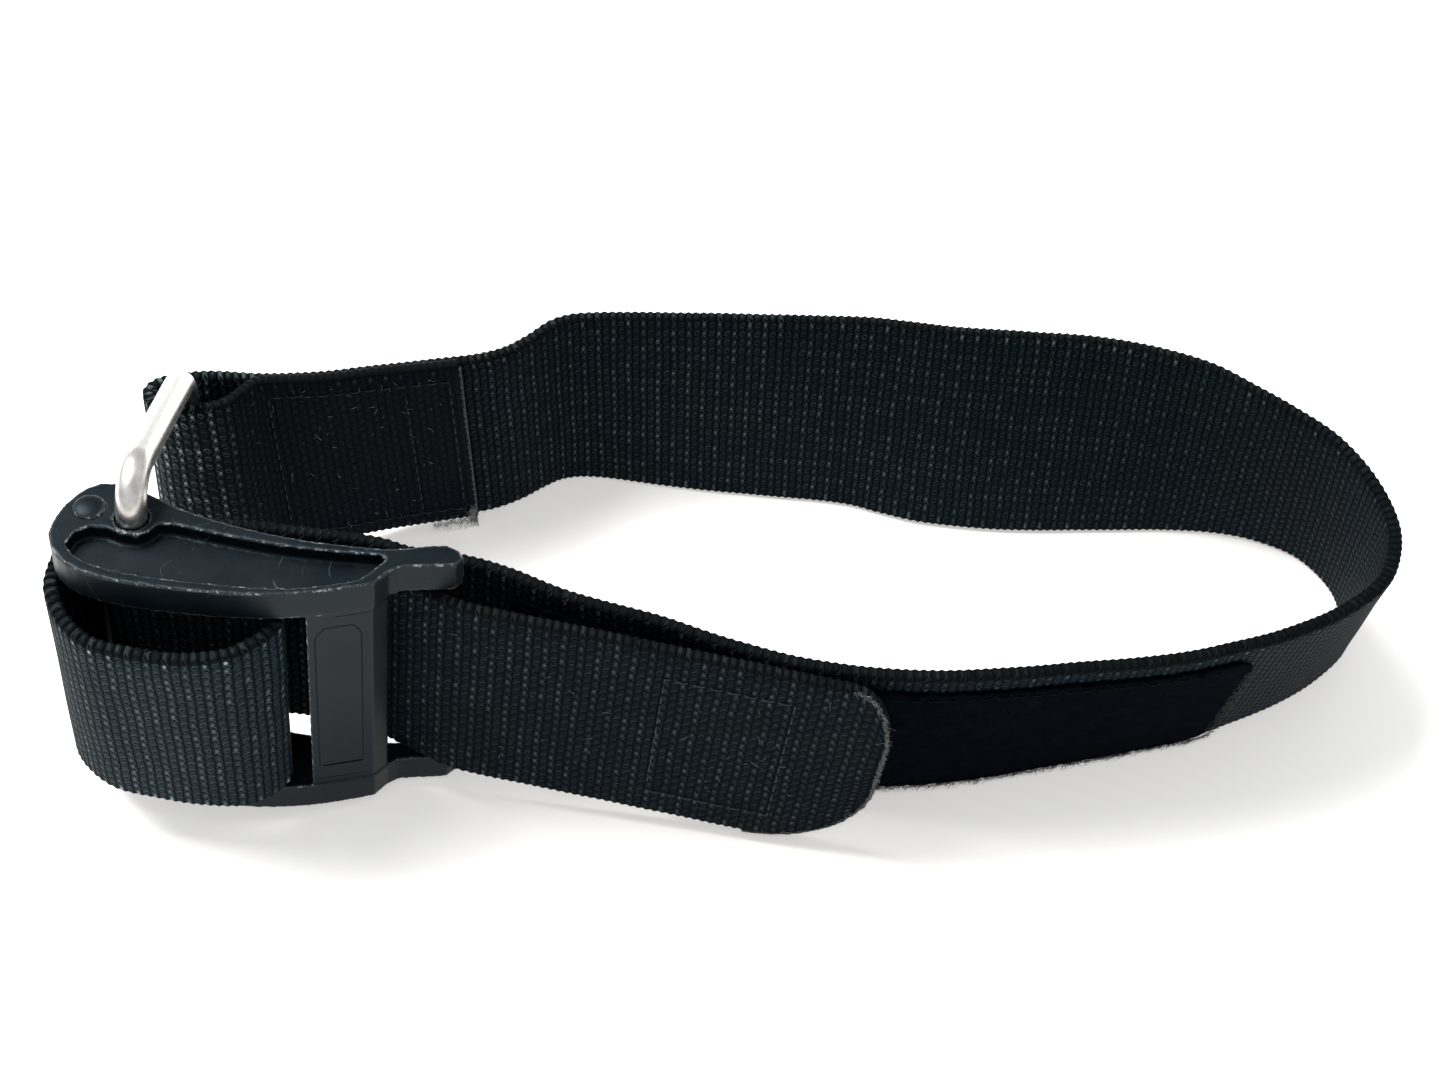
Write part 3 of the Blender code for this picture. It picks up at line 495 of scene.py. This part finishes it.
def section_ring(low, high, thick, round_edge, columns):
    """Heights and offsets round a strip's section with rounded edges, once round."""
    half = thick / 2
    angles = np.radians(np.arange(0.0, 181.0, 30.0))
    face = np.linspace(low + round_edge, high - round_edge, columns + 1)[1:-1]
    top = [(high - round_edge + round_edge * math.sin(a), half * math.cos(a)) for a in angles]
    bottom = [(low + round_edge - round_edge * math.sin(a), -half * math.cos(a)) for a in angles]
    return np.array([*[(v, half) for v in face], *top, *[(v, -half) for v in face[::-1]], *bottom])


def strip_mesh(name, run, start, end, ring, finish, offset=0.0, knit=True, shape=None, marks=None):
    """Closed strip along a run between two distances, its edges bumped by the weave."""
    u = run.u[(run.u >= start - 1e-6) & (run.u <= end + 1e-6)]
    low, high = ring[:, 0].min(), ring[:, 0].max()
    column = u[:, None]
    v, n = (np.repeat(part[None, :], len(u), 0) for part in ring.T)
    if shape is not None:
        v, n = shape(column, v, n)
    if knit:
        near_edge = np.clip(1 - np.minimum(v - low, high - v) / 2.2, 0, 1)
        side = np.sign(n) * 0.5 * math.pi
        bead = np.cos(2 * math.pi * column / (RIB_PITCH / 2) + side)
        outward = np.where(v > (low + high) / 2, 1.0, -1.0)
        v += outward * near_edge ** 2 * (0.20 * bead - 0.12)
        n *= 1 + near_edge * 0.10 * bead - 0.05 * near_edge
        n += 0.05 * np.sin(column * 0.31) * np.sin(v * 0.19 + column * 0.11)
    points = run.at(column, v, n + offset)
    rings, sides = points.shape[:2]
    index = np.arange(rings * sides).reshape(rings, sides)
    a, b = index[:-1], index[1:]
    faces = np.stack([a, b, np.roll(b, -1, 1), np.roll(a, -1, 1)], -1).reshape(-1, 4)
    uv_at = np.stack(np.broadcast_arrays(column, ring[None, :, 0]), -1).reshape(-1, 2)
    caps = [index[0].tolist(), index[-1][::-1].tolist()]
    faces = [*faces.tolist(), *caps]
    uv = uv_at[np.concatenate([np.asarray(f) for f in faces])]
    extra = {key: np.repeat(np.interp(u, *marks[key]), sides) for key in marks or {}}
    item = make_piece(name, points.reshape(-1, 3), faces, finish, uv, extra)
    orient(item)
    return item


def orient(item):
    """Faces turned to point outwards."""
    mesh = bmesh.new()
    mesh.from_mesh(item.data)
    bmesh.ops.recalc_face_normals(mesh, faces=mesh.faces)
    mesh.to_mesh(item.data)
    mesh.free()


def tube_mesh(name, paths, radius, sides, finish, taper=False, attributes=None):
    """Closed tubes along paths of points, all in one mesh."""
    points, faces, uv, extra = [], [], [], {key: [] for key in attributes or {}}
    turn = np.linspace(0, 2 * math.pi, sides, endpoint=False)
    for path in paths:
        path = np.asarray(path, float)
        ahead = np.gradient(path, axis=0)
        ahead /= np.linalg.norm(ahead, axis=1)[:, None]
        side = np.cross(ahead[0], (0.3, 0.5, 0.81))
        first = len(points)
        gone = np.concatenate([[0.0], np.cumsum(np.linalg.norm(np.diff(path, axis=0), axis=1))])
        for k, (at, forward) in enumerate(zip(path, ahead)):
            side = side - forward * side.dot(forward)
            side /= np.linalg.norm(side)
            other = np.cross(forward, side)
            size = radius * (1 - 0.8 * k / (len(path) - 1)) if taper else radius
            points += [at + size * (side * math.cos(t) + other * math.sin(t)) for t in turn]
            for key in extra:
                extra[key] += [float(attributes[key](gone[k]))] * sides
        count = len(path)
        for k in range(count - 1):
            a, b = first + k * sides, first + (k + 1) * sides
            for s in range(sides):
                faces.append((a + s, a + (s + 1) % sides, b + (s + 1) % sides, b + s))
                around, nearer, farther = radius * turn[1], gone[k], gone[k + 1]
                uv += [(nearer, s * around), (nearer, (s + 1) * around),
                       (farther, (s + 1) * around), (farther, s * around)]
        faces.append(tuple(range(first + sides - 1, first - 1, -1)))
        faces.append(tuple(range(first + (count - 1) * sides, first + count * sides)))
        uv += [(0.0, 0.0)] * sides + [(gone[-1], 0.0)] * sides
    return make_piece(name, points, faces, finish, uv, extra)


def stitch_paths(run, path, face, length=2.5, pitch=3.1):
    """Single stitches along a path of (u, v) points on one face of a run."""
    path = np.asarray(path, float)
    gone = np.concatenate([[0.0], np.cumsum(np.linalg.norm(np.diff(path, axis=0), axis=1))])
    half = WEB_THICK / 2
    result = []
    for start in np.arange(0.4, gone[-1] - length, pitch):
        place = np.linspace(start, start + length, 7)
        u, v = (np.interp(place, gone, column) for column in path.T)
        rise = np.array([-0.25, 0.10, 0.20, 0.23, 0.20, 0.10, -0.25])
        result.append(run.at(u, v, face * (half + rise)))
    return result


def hairs(run, rng, count, u_range, v_range, face, length, lean=(0.0, 0.0)):
    """Fine curved hairs that stand off one face of a run."""
    paths = []
    for _ in range(count):
        u, v = rng.uniform(*u_range), rng.uniform(*v_range)
        reach = rng.uniform(*length)
        way = rng.normal(0, 0.6, 2) + np.asarray(lean)
        bend = rng.normal(0, 0.5, 2)
        t = np.linspace(0, 1, 5)
        along = u + reach * (way[0] * t + bend[0] * t ** 2)
        across = v + reach * (way[1] * t + bend[1] * t ** 2)
        out = abs(face) + reach * rng.uniform(0.05, 0.45) * t
        path = run.at(along, across, math.copysign(1, face) * out)
        path[:, 2] = np.maximum(path[:, 2], 0.15)
        paths.append(path)
    return paths


# ---- webbing --------------------------------------------------------------------------------------
def tail_shape(end):
    """Rounds the tail's end: heights drawn in towards the middle over the last stretch."""
    def shape(u, v, n):
        middle = WEB_WIDTH / 2
        keep = np.where(v > middle, tail_reach(end - u, TAIL_UPPER), tail_reach(end - u, TAIL_LOWER))
        thin = 1 - 0.45 * np.clip(1 - (end - u) / TAIL_ROUND, 0, 1) ** 6
        return middle + (v - middle) * keep, n * thin
    return shape


def tail_reach(before_end, corner):
    """Share of the half width left at a distance before the tail's end."""
    length, power = corner
    share = np.clip(1 - before_end / length, 0, 1)
    return np.maximum(np.power(np.maximum(1 - share ** 2, 0.0), power), 0.02)


def webbing_marks(places):
    """How worn and napped the webbing is, and how strong its painted glints are, as distances along it
    and values there.
    """
    cut, bail, seam = 0.0, places["bail"], places["seam"]
    buckle, slack, hinge, end = places["behind"], places["slack"], places["hinge"], places["end"]
    worn = ([cut, bail - 6, bail, seam + 40, buckle - 150, buckle, slack - 14, slack, hinge,
             hinge + 20, end],
            [0.05, 0.08, 0.20, 0.12, 0.10, 0.02, 0.18, 0.36, 0.02, 0.03, 0.01])
    # Strength of the painted glints along the webbing.
    painted_glint = ([cut, seam - 46, seam - 34, bail, seam + 10, seam + 80, buckle - 200, buckle, slack, end],
             [0.05, 0.10, 1.50, 1.40, 0.20, 0.28, 0.06, 0.18, 0.28, 0.14])
    nap = ([cut, seam - 50, seam - 38, bail, buckle, end], [0.95, 0.85, 0.05, 0.0, 0.0, 0.1])
    return {"worn": worn, "painted_glint": painted_glint, "nap": nap}


def build_webbing(run, finish):
    """The strap in stretches, one for each body that it follows or bends between."""
    def behind(x, y):
        return run.where(in_buckle([(x, y)])[0][:3])
    end = run.u[-1]
    hinge = behind(TAIL_HINGE_X, -1.0)
    places = {
        "bail": run.where(upright([(-118.2, 11.6, 1.0, -0.3, 6.8)])[0][:3]),
        "seam": run.where(upright([(-97.0, 22.5, 0.5, -2.8, 5.0)])[0][:3]),
        "behind": behind(47.0, 5.8), "slack": behind(3.4, -18.0), "hinge": hinge, "end": end,
    }
    marks = webbing_marks(places)
    ring = section_ring(0.0, WEB_WIDTH, WEB_THICK, EDGE_ROUND, 16)
    cuts = [0.0, behind(46.0, 6.0), behind(17.0, 7.8), behind(-2.0, 6.0),
            hinge - HINGE_HALF, hinge + HINGE_HALF, end]
    cuts = [run.u[min(int(np.searchsorted(run.u, cut)), len(run.u) - 1)] for cut in cuts]
    names = ["webbing_belt", "webbing_to_bail", "webbing_to_lever", "webbing_in_lever",
             "webbing_at_hinge", "webbing_tail_visible"]
    stands_for = [
        ["webbing_fold_back", "webbing_sewn_loop", "webbing_back_left", "webbing_back",
         "webbing_right", "webbing_front"],
        ["webbing_behind_buckle"], [],
        ["webbing_end_wrap", "webbing_slack_loop", "webbing_cam_turn"],
        ["webbing_tail_root"], ["webbing_tail"],
    ]
    shape = tail_shape(end)
    pieces = []
    for name, start, stop, cad in zip(names, cuts, cuts[1:], stands_for):
        item = strip_mesh(name, run, start, stop, ring, finish, shape=shape, marks=marks)
        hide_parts(*cad)
        pieces.append((item, stop - start))
    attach(pieces[0][0], "belt")
    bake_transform(pieces[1][0])
    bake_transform(pieces[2][0])
    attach(pieces[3][0], "lever")
    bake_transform(pieces[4][0])
    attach(pieces[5][0], "tail")
    return pieces, places


def build_loop_tape(run, finish, thread):
    """Loop tape on the outer face of the front run, its right end's corners cut round."""
    start = run.where(upright([(TAPE_START, -13.8, 0, -14.4, 0)])[0][:3])
    end = run.where(upright([(TAPE_END, -25.1, 3.3, -2.0, 6.7)])[0][:3])
    offset = -(WEB_THICK / 2 + TAPE_THICK / 2 + 0.02)

    def shape(u, v, n):
        share = np.clip(1 - (u - start) / TAPE_CORNER, 0, 1)
        top = (1 - np.sqrt(1 - share ** 2)) * TAPE_CUT_UPPER
        bottom = (1 - np.sqrt(1 - share ** 2)) * TAPE_CUT_LOWER
        middle = (TAPE_LOW + TAPE_HIGH) / 2
        reach = (TAPE_HIGH - TAPE_LOW) / 2
        side = (v - middle) / reach
        v = v - np.maximum(side, 0) * top + np.maximum(-side, 0) * bottom
        ragged = 0.35 * np.sin(u * 1.9) * np.sin(u * 0.7 + 1.0)
        v = v + ragged * np.clip(np.abs(side) * 8 - 7, 0, 1)
        return v, n * (1 - 0.4 * share ** 4)

    ring = section_ring(TAPE_LOW, TAPE_HIGH, TAPE_THICK, 0.5, 12)
    tape = strip_mesh("loop_tape_visible", run, start, end, ring, finish, offset,
                      knit=False, shape=shape)
    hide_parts("loop_tape")
    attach(tape, "belt")
    surface = -(TAPE_THICK + 0.02)
    for name, v in (("loop_tape_stitch_lower", TAPE_LOW + 1.6),
                    ("loop_tape_stitch_upper", TAPE_HIGH - 1.6)):
        rows = stitch_paths(run, [(start + 7, v), (end - 1, v)], -1)
        rows = [row + run_normal(run, row) * surface for row in rows]
        item = tube_mesh(name + "_visible", rows, 0.14, 6, thread)
        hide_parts(name)
        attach(item, "belt")
    return tape, start, end


def run_normal(run, points):
    """The run's normal at the section nearest the first of some points."""
    gaps = np.linalg.norm(run.low + run.up * WEB_WIDTH / 2 - points[0], axis=1)
    return run.normal[int(np.argmin(gaps))]


def build_hook_tape(run, finish, thread):
    """Hook tape on the tail's inner face and the stitching that shows on its outer face."""
    start, end = (run.where(in_buckle([place])[0][:3])
                  for place in ((HOOK_START, -11.3), (HOOK_END, -14.3)))
    ring = section_ring(HOOK_LOW, HOOK_HIGH, TAPE_THICK, 0.4, 10)
    side = inner_side(run, start)
    tape = strip_mesh("hook_tape_visible", run, start, end, ring, finish,
                      side * (WEB_THICK / 2 + TAPE_THICK / 2 + 0.02), knit=False)
    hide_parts("hook_tape")
    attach(tape, "tail")
    low, high = HOOK_LOW + 1.4, HOOK_HIGH - 1.4
    outline = [(start, low), (end, low), (end, high), (start, high), (start, low)]
    rows = stitch_paths(run, outline, -side)
    item = tube_mesh("hook_tape_stitch_visible", rows, 0.15, 6, thread)
    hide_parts("hook_tape_stitch")
    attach(item, "tail")
    return tape


def inner_side(run, u):
    """+1 where the run's normal at u points towards +Y, -1 where it points towards -Y."""
    return 1.0 if run.normal[int(np.searchsorted(run.u, u))][1] > 0 else -1.0


def build_box_stitch(run, places, thread):
    """Sewn rectangle with a second row near the cut end, on the flap's open face."""
    near, far = BOX_NEAR, places["seam"] - 54.0
    low, high = BOX_INSET, WEB_WIDTH - BOX_INSET
    side = inner_side(run, near)
    box = [(near, low), (far, low), (far, high), (near, high), (near, low)]
    second = [(near + BOX_ROW, low + 1.0), (near + BOX_ROW, high - 1.0)]
    rows = stitch_paths(run, box, -side) + stitch_paths(run, second, -side)
    item = tube_mesh("box_stitch_visible", rows, 0.13, 6, thread)
    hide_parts("box_stitch")
    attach(item, "belt")


# ---- buckle ---------------------------------------------------------------------------------------
def softened(source, name, finish, voxel, rounds):
    """A copy of a CAD solid with its edges and corners softened as a moulding's are."""
    item = bpy.data.objects.new(name, nodes[source].data.copy())
    bpy.context.scene.collection.objects.link(item)
    remesh = item.modifiers.new("skin", "REMESH")
    remesh.mode = "VOXEL"
    remesh.voxel_size = voxel * MM
    soften = item.modifiers.new("soften", "SMOOTH")
    soften.factor = 0.5
    soften.iterations = rounds
    bpy.context.view_layer.update()
    evaluated = item.evaluated_get(bpy.context.evaluated_depsgraph_get())
    mesh = bpy.data.meshes.new_from_object(evaluated)
    item.modifiers.clear()
    item.data = mesh
    mesh.materials.clear()
    mesh.materials.append(finish)
    mesh.shade_smooth()
    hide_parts(source)
    return item


def build_lever(finish):
    """The lever with its softened edges, the moulded lines on its handle and the end pin."""
    lever = softened("cam_lever", "cam_lever_visible", finish, 0.3, 2)
    build_handle_lines()
    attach(lever, "lever")
    build_end_pin(finish)


def build_handle_lines():
    """Moulded lines on the handle's outer face: a rounded rectangle, its dark foot and two seams, as
    thin tubes painted dark.
    """
    start, end = (Vector((*point, 0.0)) for point in HANDLE_FACE)
    ahead = (end - start).normalized()
    outward = Vector((ahead.y, -ahead.x, 0.0))
    # Painted shade: the outline and the darker foot line stand in for the shade in the moulded grooves;
    # the seams share the outline's paint.
    faint, dark = thread_paint("mould_line_painted_shade", 0.30), thread_paint("mould_foot_painted_shade", 0.04)

    def line(name, places, radius, rise, finish=faint):
        path = [BUCKLE @ (start.lerp(end, share) + Vector((0, 0, height)) + outward * (rise - radius))
                for share, height in places]
        item = tube_mesh(name, [ease(resample(path, 0.4), 4)], radius, 8, finish)
        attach(item, "lever")

    left, right, foot, top = 0.13, 0.84, 12.6, 54.0
    line("handle_outline", [(left, foot), (left, top - 2.4), (left + 0.14, top),
                            (right - 0.12, top + 0.3), (right, top - 2.0), (right, foot)], 0.17, 0.07)
    line("handle_foot_line", [(left + 0.06, foot - 0.2), (right, foot)], 0.30, 0.10, dark)
    line("handle_seam", [(0.04, 8.3), (0.96, 8.3)], 0.15, 0.05)
    line("handle_top_seam", [(0.45, 56.9), (0.97, 57.2)], 0.15, 0.05)


def build_end_pin(finish):
    """Pin across the lever with a low moulded dome over each end."""
    half = BUCKLE_HEIGHT / 2
    angles = np.radians(np.arange(0, 91, 10))
    dome = [(PIN_RADIUS * math.sin(a), half + 0.04 + DOME_RISE * math.cos(a)) for a in angles]
    profile = [*dome, (PIN_RADIUS - 0.05, half + 0.03), (PIN_NECK, half + 0.02), (PIN_NECK, half - 1.0)]
    profile += [(r, -z) for r, z in reversed(profile)]
    turn = np.linspace(0, 2 * math.pi, 32, endpoint=False)
    points, faces, sides = [], [], len(turn)
    for r, z in profile[1:-1]:
        ring = [(END_PIN[0] + r * math.cos(t), END_PIN[1] + r * math.sin(t), z + half) for t in turn]
        points += [BUCKLE @ Vector(p) for p in ring]
    rings = len(profile) - 2
    for k in range(rings - 1):
        a, b = k * sides, (k + 1) * sides
        faces += [(a + s, a + (s + 1) % sides, b + (s + 1) % sides, b + s) for s in range(sides)]
    top, bottom = len(points), len(points) + 1
    points += [BUCKLE @ Vector((*END_PIN, profile[k][1] + half)) for k in (0, -1)]
    faces += [(s, (s + 1) % sides, top) for s in range(sides)]
    last = (rings - 1) * sides
    faces += [(last + s, last + (s + 1) % sides, bottom) for s in range(sides)]
    pin = make_piece("end_pin_visible", points, faces, finish)
    orient(pin)
    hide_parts("end_pin")
    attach(pin, "lever")


def build_bail(finish):
    """Bent wire: a leg into each of the lever's holes, a knee, and the bar in the sewn loop."""
    corners = [BUCKLE @ Vector(c) for c in BAIL_CORNERS]
    path = [corners[0]]
    for before, corner, after, bend in zip(corners, corners[1:], corners[2:], BAIL_BENDS):
        path += round_corner(before, corner, after, bend, 14)
    path.append(corners[-1])
    step = 0.7
    path = ease(resample(path, step), 3)
    total = step * len(path)
    # The painted lever shade fades over the 26 mm next to each end of the wire.
    wire = tube_mesh("bail_wire", [path], WIRE_RADIUS, 36, finish,
                     attributes={"painted_lever_shade": lambda s: np.clip(1 - min(s, total - s) / 26.0, 0, 1)})
    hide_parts("bail")
    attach(wire, "bail")


def round_corner(before, corner, after, radius, pieces):
    """Points on the arc that replaces a corner."""
    back, ahead = (before - corner).normalized(), (after - corner).normalized()
    half = back.angle(ahead) / 2
    inset = radius / math.tan(half)
    start, end = corner + back * inset, corner + ahead * inset
    centre = corner + (back + ahead).normalized() * (radius / math.sin(half))
    arms = [(start - centre).lerp(end - centre, k / pieces) for k in range(pieces + 1)]
    return [centre + arm.normalized() * radius for arm in arms]


def resample(path, step):
    """The path again with its points at even distances."""
    path = np.array(path, float)
    gone = np.concatenate([[0.0], np.cumsum(np.linalg.norm(np.diff(path, axis=0), axis=1))])
    place = np.linspace(0.0, gone[-1], round(gone[-1] / step))
    return np.column_stack([np.interp(place, gone, column) for column in path.T])


# ---- lint -----------------------------------------------------------------------------------------
def build_lint(run, places, tape_start):
    """Loose fibres on the loop tape's edges, the flap's cut end and the tail."""
    rng = np.random.default_rng(7)
    pale = lint_paint("pale_fibre", (0.42, 0.43, 0.42))
    build_tape_fibres(run, rng, tape_start)
    build_flap_fray(run, rng, places, pale)
    build_tail_lint(run, rng, places, pale)


def build_tape_fibres(run, rng, start):
    """Dark fuzz along the loop tape's lower edge and right end."""
    dark = lint_paint("dark_fibre", (0.003, 0.004, 0.006))
    face = -(WEB_THICK / 2 + TAPE_THICK)
    edge = hairs(run, rng, 1500, (start - 0.6, start + 95), (TAPE_LOW - 0.4, TAPE_LOW + 0.8), face,
                 (0.4, 1.7), (0.0, -0.4))
    edge += hairs(run, rng, 260, (start - 0.6, start + 1.5), (TAPE_LOW + 1, TAPE_HIGH - 6), face,
                  (0.6, 1.6), (-0.6, 0.0))
    fuzz = tube_mesh("tape_edge_fibres", edge, 0.075, 3, dark, taper=True)
    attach(fuzz, "belt")


def build_flap_fray(run, rng, places, pale):
    """Pale fibres on the flap, thickest at the lower corner of its cut end, and the melted edge."""
    face = -inner_side(run, 5.0) * (WEB_THICK / 2)
    fray = hairs(run, rng, 70, (-0.4, 1.0), (0.2, 5.0), face, (0.8, 2.6), (-0.4, -0.8))
    fray += hairs(run, rng, 60, (2.0, places["seam"] - 44), (1.0, 49.0), face, (0.5, 1.6))
    fray += hairs(run, rng, 300, (-1.2, 1.4), (-0.8, 3.4), face, (0.8, 2.6), (-0.2, -0.9))
    fray += hairs(run, rng, 220, (0.5, 10.0), (-0.6, 1.0), face, (0.6, 2.0), (0.1, -0.7))
    bits = tube_mesh("flap_fray", fray, 0.045, 3, pale, taper=True)
    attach(bits, "belt")
    melted = lint_paint("melted_edge", (0.036, 0.044, 0.056))
    v = np.arange(0.8, 49.4, 0.35)
    ragged = 0.22 * np.sin(v * 5.3) * np.sin(v * 1.7) + 0.1 * rng.normal(size=len(v))
    edge = [run.at(-0.05, v, np.sign(face) * (abs(face) - 0.35 + ragged * 0.6))]
    item = tube_mesh("flap_melted_edge", edge, 0.40, 7, melted)
    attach(item, "belt")


def build_tail_lint(run, rng, places, pale):
    """The tail's singed rim and the pale fibres on it and over the tail."""
    end = places["end"]
    face = -inner_side(run, end - 40) * (WEB_THICK / 2)
    dust = hairs(run, rng, 60, (places["hinge"] + 8, end - 12), (2.0, 48.0), face, (0.4, 1.3))
    middle, reach = WEB_WIDTH / 2, WEB_WIDTH / 2 - 0.2
    rim = [(end - d, middle - reach * float(tail_reach(d, TAIL_LOWER)))
           for d in np.arange(22.0, 0.1, -0.4)]
    rim += [(end - d, middle + reach * float(tail_reach(d, TAIL_UPPER)))
            for d in np.arange(0.2, 8.6, 0.4)]
    rim = resample([Vector((u, v, 0.0)) for u, v in rim], 0.4)
    for u, v, _ in rim:
        dust += hairs(run, rng, 2, (u - 0.9, u - 0.1), (v - 0.4, v + 0.4), face, (0.4, 1.1), (0.5, 0.0))
    ragged = 0.15 * rng.normal(size=len(rim))
    edge = [run.at(rim[:, 0] - 0.35 + ragged, rim[:, 1], np.sign(face) * (abs(face) - 0.25))]
    singed = lint_paint("singed_edge", (0.010, 0.016, 0.019))
    item = tube_mesh("tail_cut_edge", edge, 0.28, 6, singed)
    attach(item, "tail")
    bits = tube_mesh("tail_lint", dust, 0.028, 3, pale, taper=True)
    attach(bits, "tail")


# ---- stage ----------------------------------------------------------------------------------------
def build_stage():
    """A plain pale floor under a soft sky and one large lamp."""
    bpy.ops.mesh.primitive_plane_add(size=24.0)
    floor = bpy.context.object
    floor.name = "floor"
    paint = Paint("floor", (0.90, 0.895, 0.885), 0.8)
    paint.set("Emission Color", (1.0, 0.98, 0.94, 1.0))
    paint.set("Emission Strength", 0.44)
    floor.data.materials.append(paint.material)
    world = bpy.data.worlds.new("studio")
    bpy.context.scene.world = world
    world.use_nodes = True
    world.node_tree.nodes["Background"].inputs["Color"].default_value = (0.96, 0.98, 1.0, 1.0)
    world.node_tree.nodes["Background"].inputs["Strength"].default_value = 0.60
    add_light("key", place=(-0.72, 0.28, 1.35), target=(0.0, 0.0, 0.02), size=0.8, power=42.0,
              colour=(1.0, 0.985, 0.96))


def add_light(name, place, target, size, power, colour):
    """Square area lamp that faces a target."""
    data = bpy.data.lights.new(name, "AREA")
    data.size = size
    data.energy = power
    data.color = colour
    lamp = bpy.data.objects.new(name, data)
    lamp.location = place
    lamp.rotation_euler = (Vector(target) - Vector(place)).to_track_quat("-Z", "Y").to_euler()
    bpy.context.scene.collection.objects.link(lamp)


def build_camera():
    """Camera in front of the buckle, looking down on it."""
    data = bpy.data.cameras.new("camera")
    data.sensor_width = SENSOR
    data.lens = LENS
    data.clip_end = 20.0
    camera = bpy.data.objects.new("camera", data)
    roll = Matrix.Rotation(math.radians(CAMERA_ROLL), 4, "Z")
    camera.matrix_world = (Matrix.Translation(Vector(CAMERA_PLACE) * MM)
                           @ Matrix.Rotation(math.radians(CAMERA_TILT), 4, "X") @ roll)
    bpy.context.scene.collection.objects.link(camera)
    bpy.context.scene.camera = camera
    bpy.context.scene.view_settings.view_transform = "Standard"


def main():
    build_camera()
    build_stage()
    run = strap_run()
    thread = thread_paint("thread", 1.0)
    pieces, places = build_webbing(run, webbing_paint())
    pile, dark_thread = pile_paint(), thread_paint("dark_thread", 0.12)
    tape, tape_start, tape_end = build_loop_tape(run, pile, dark_thread)
    hook = build_hook_tape(run, hook_paint(), thread)
    build_box_stitch(run, places, thread)
    build_lever(nylon_paint())
    build_bail(steel_paint())
    build_lint(run, places, tape_start)


main()
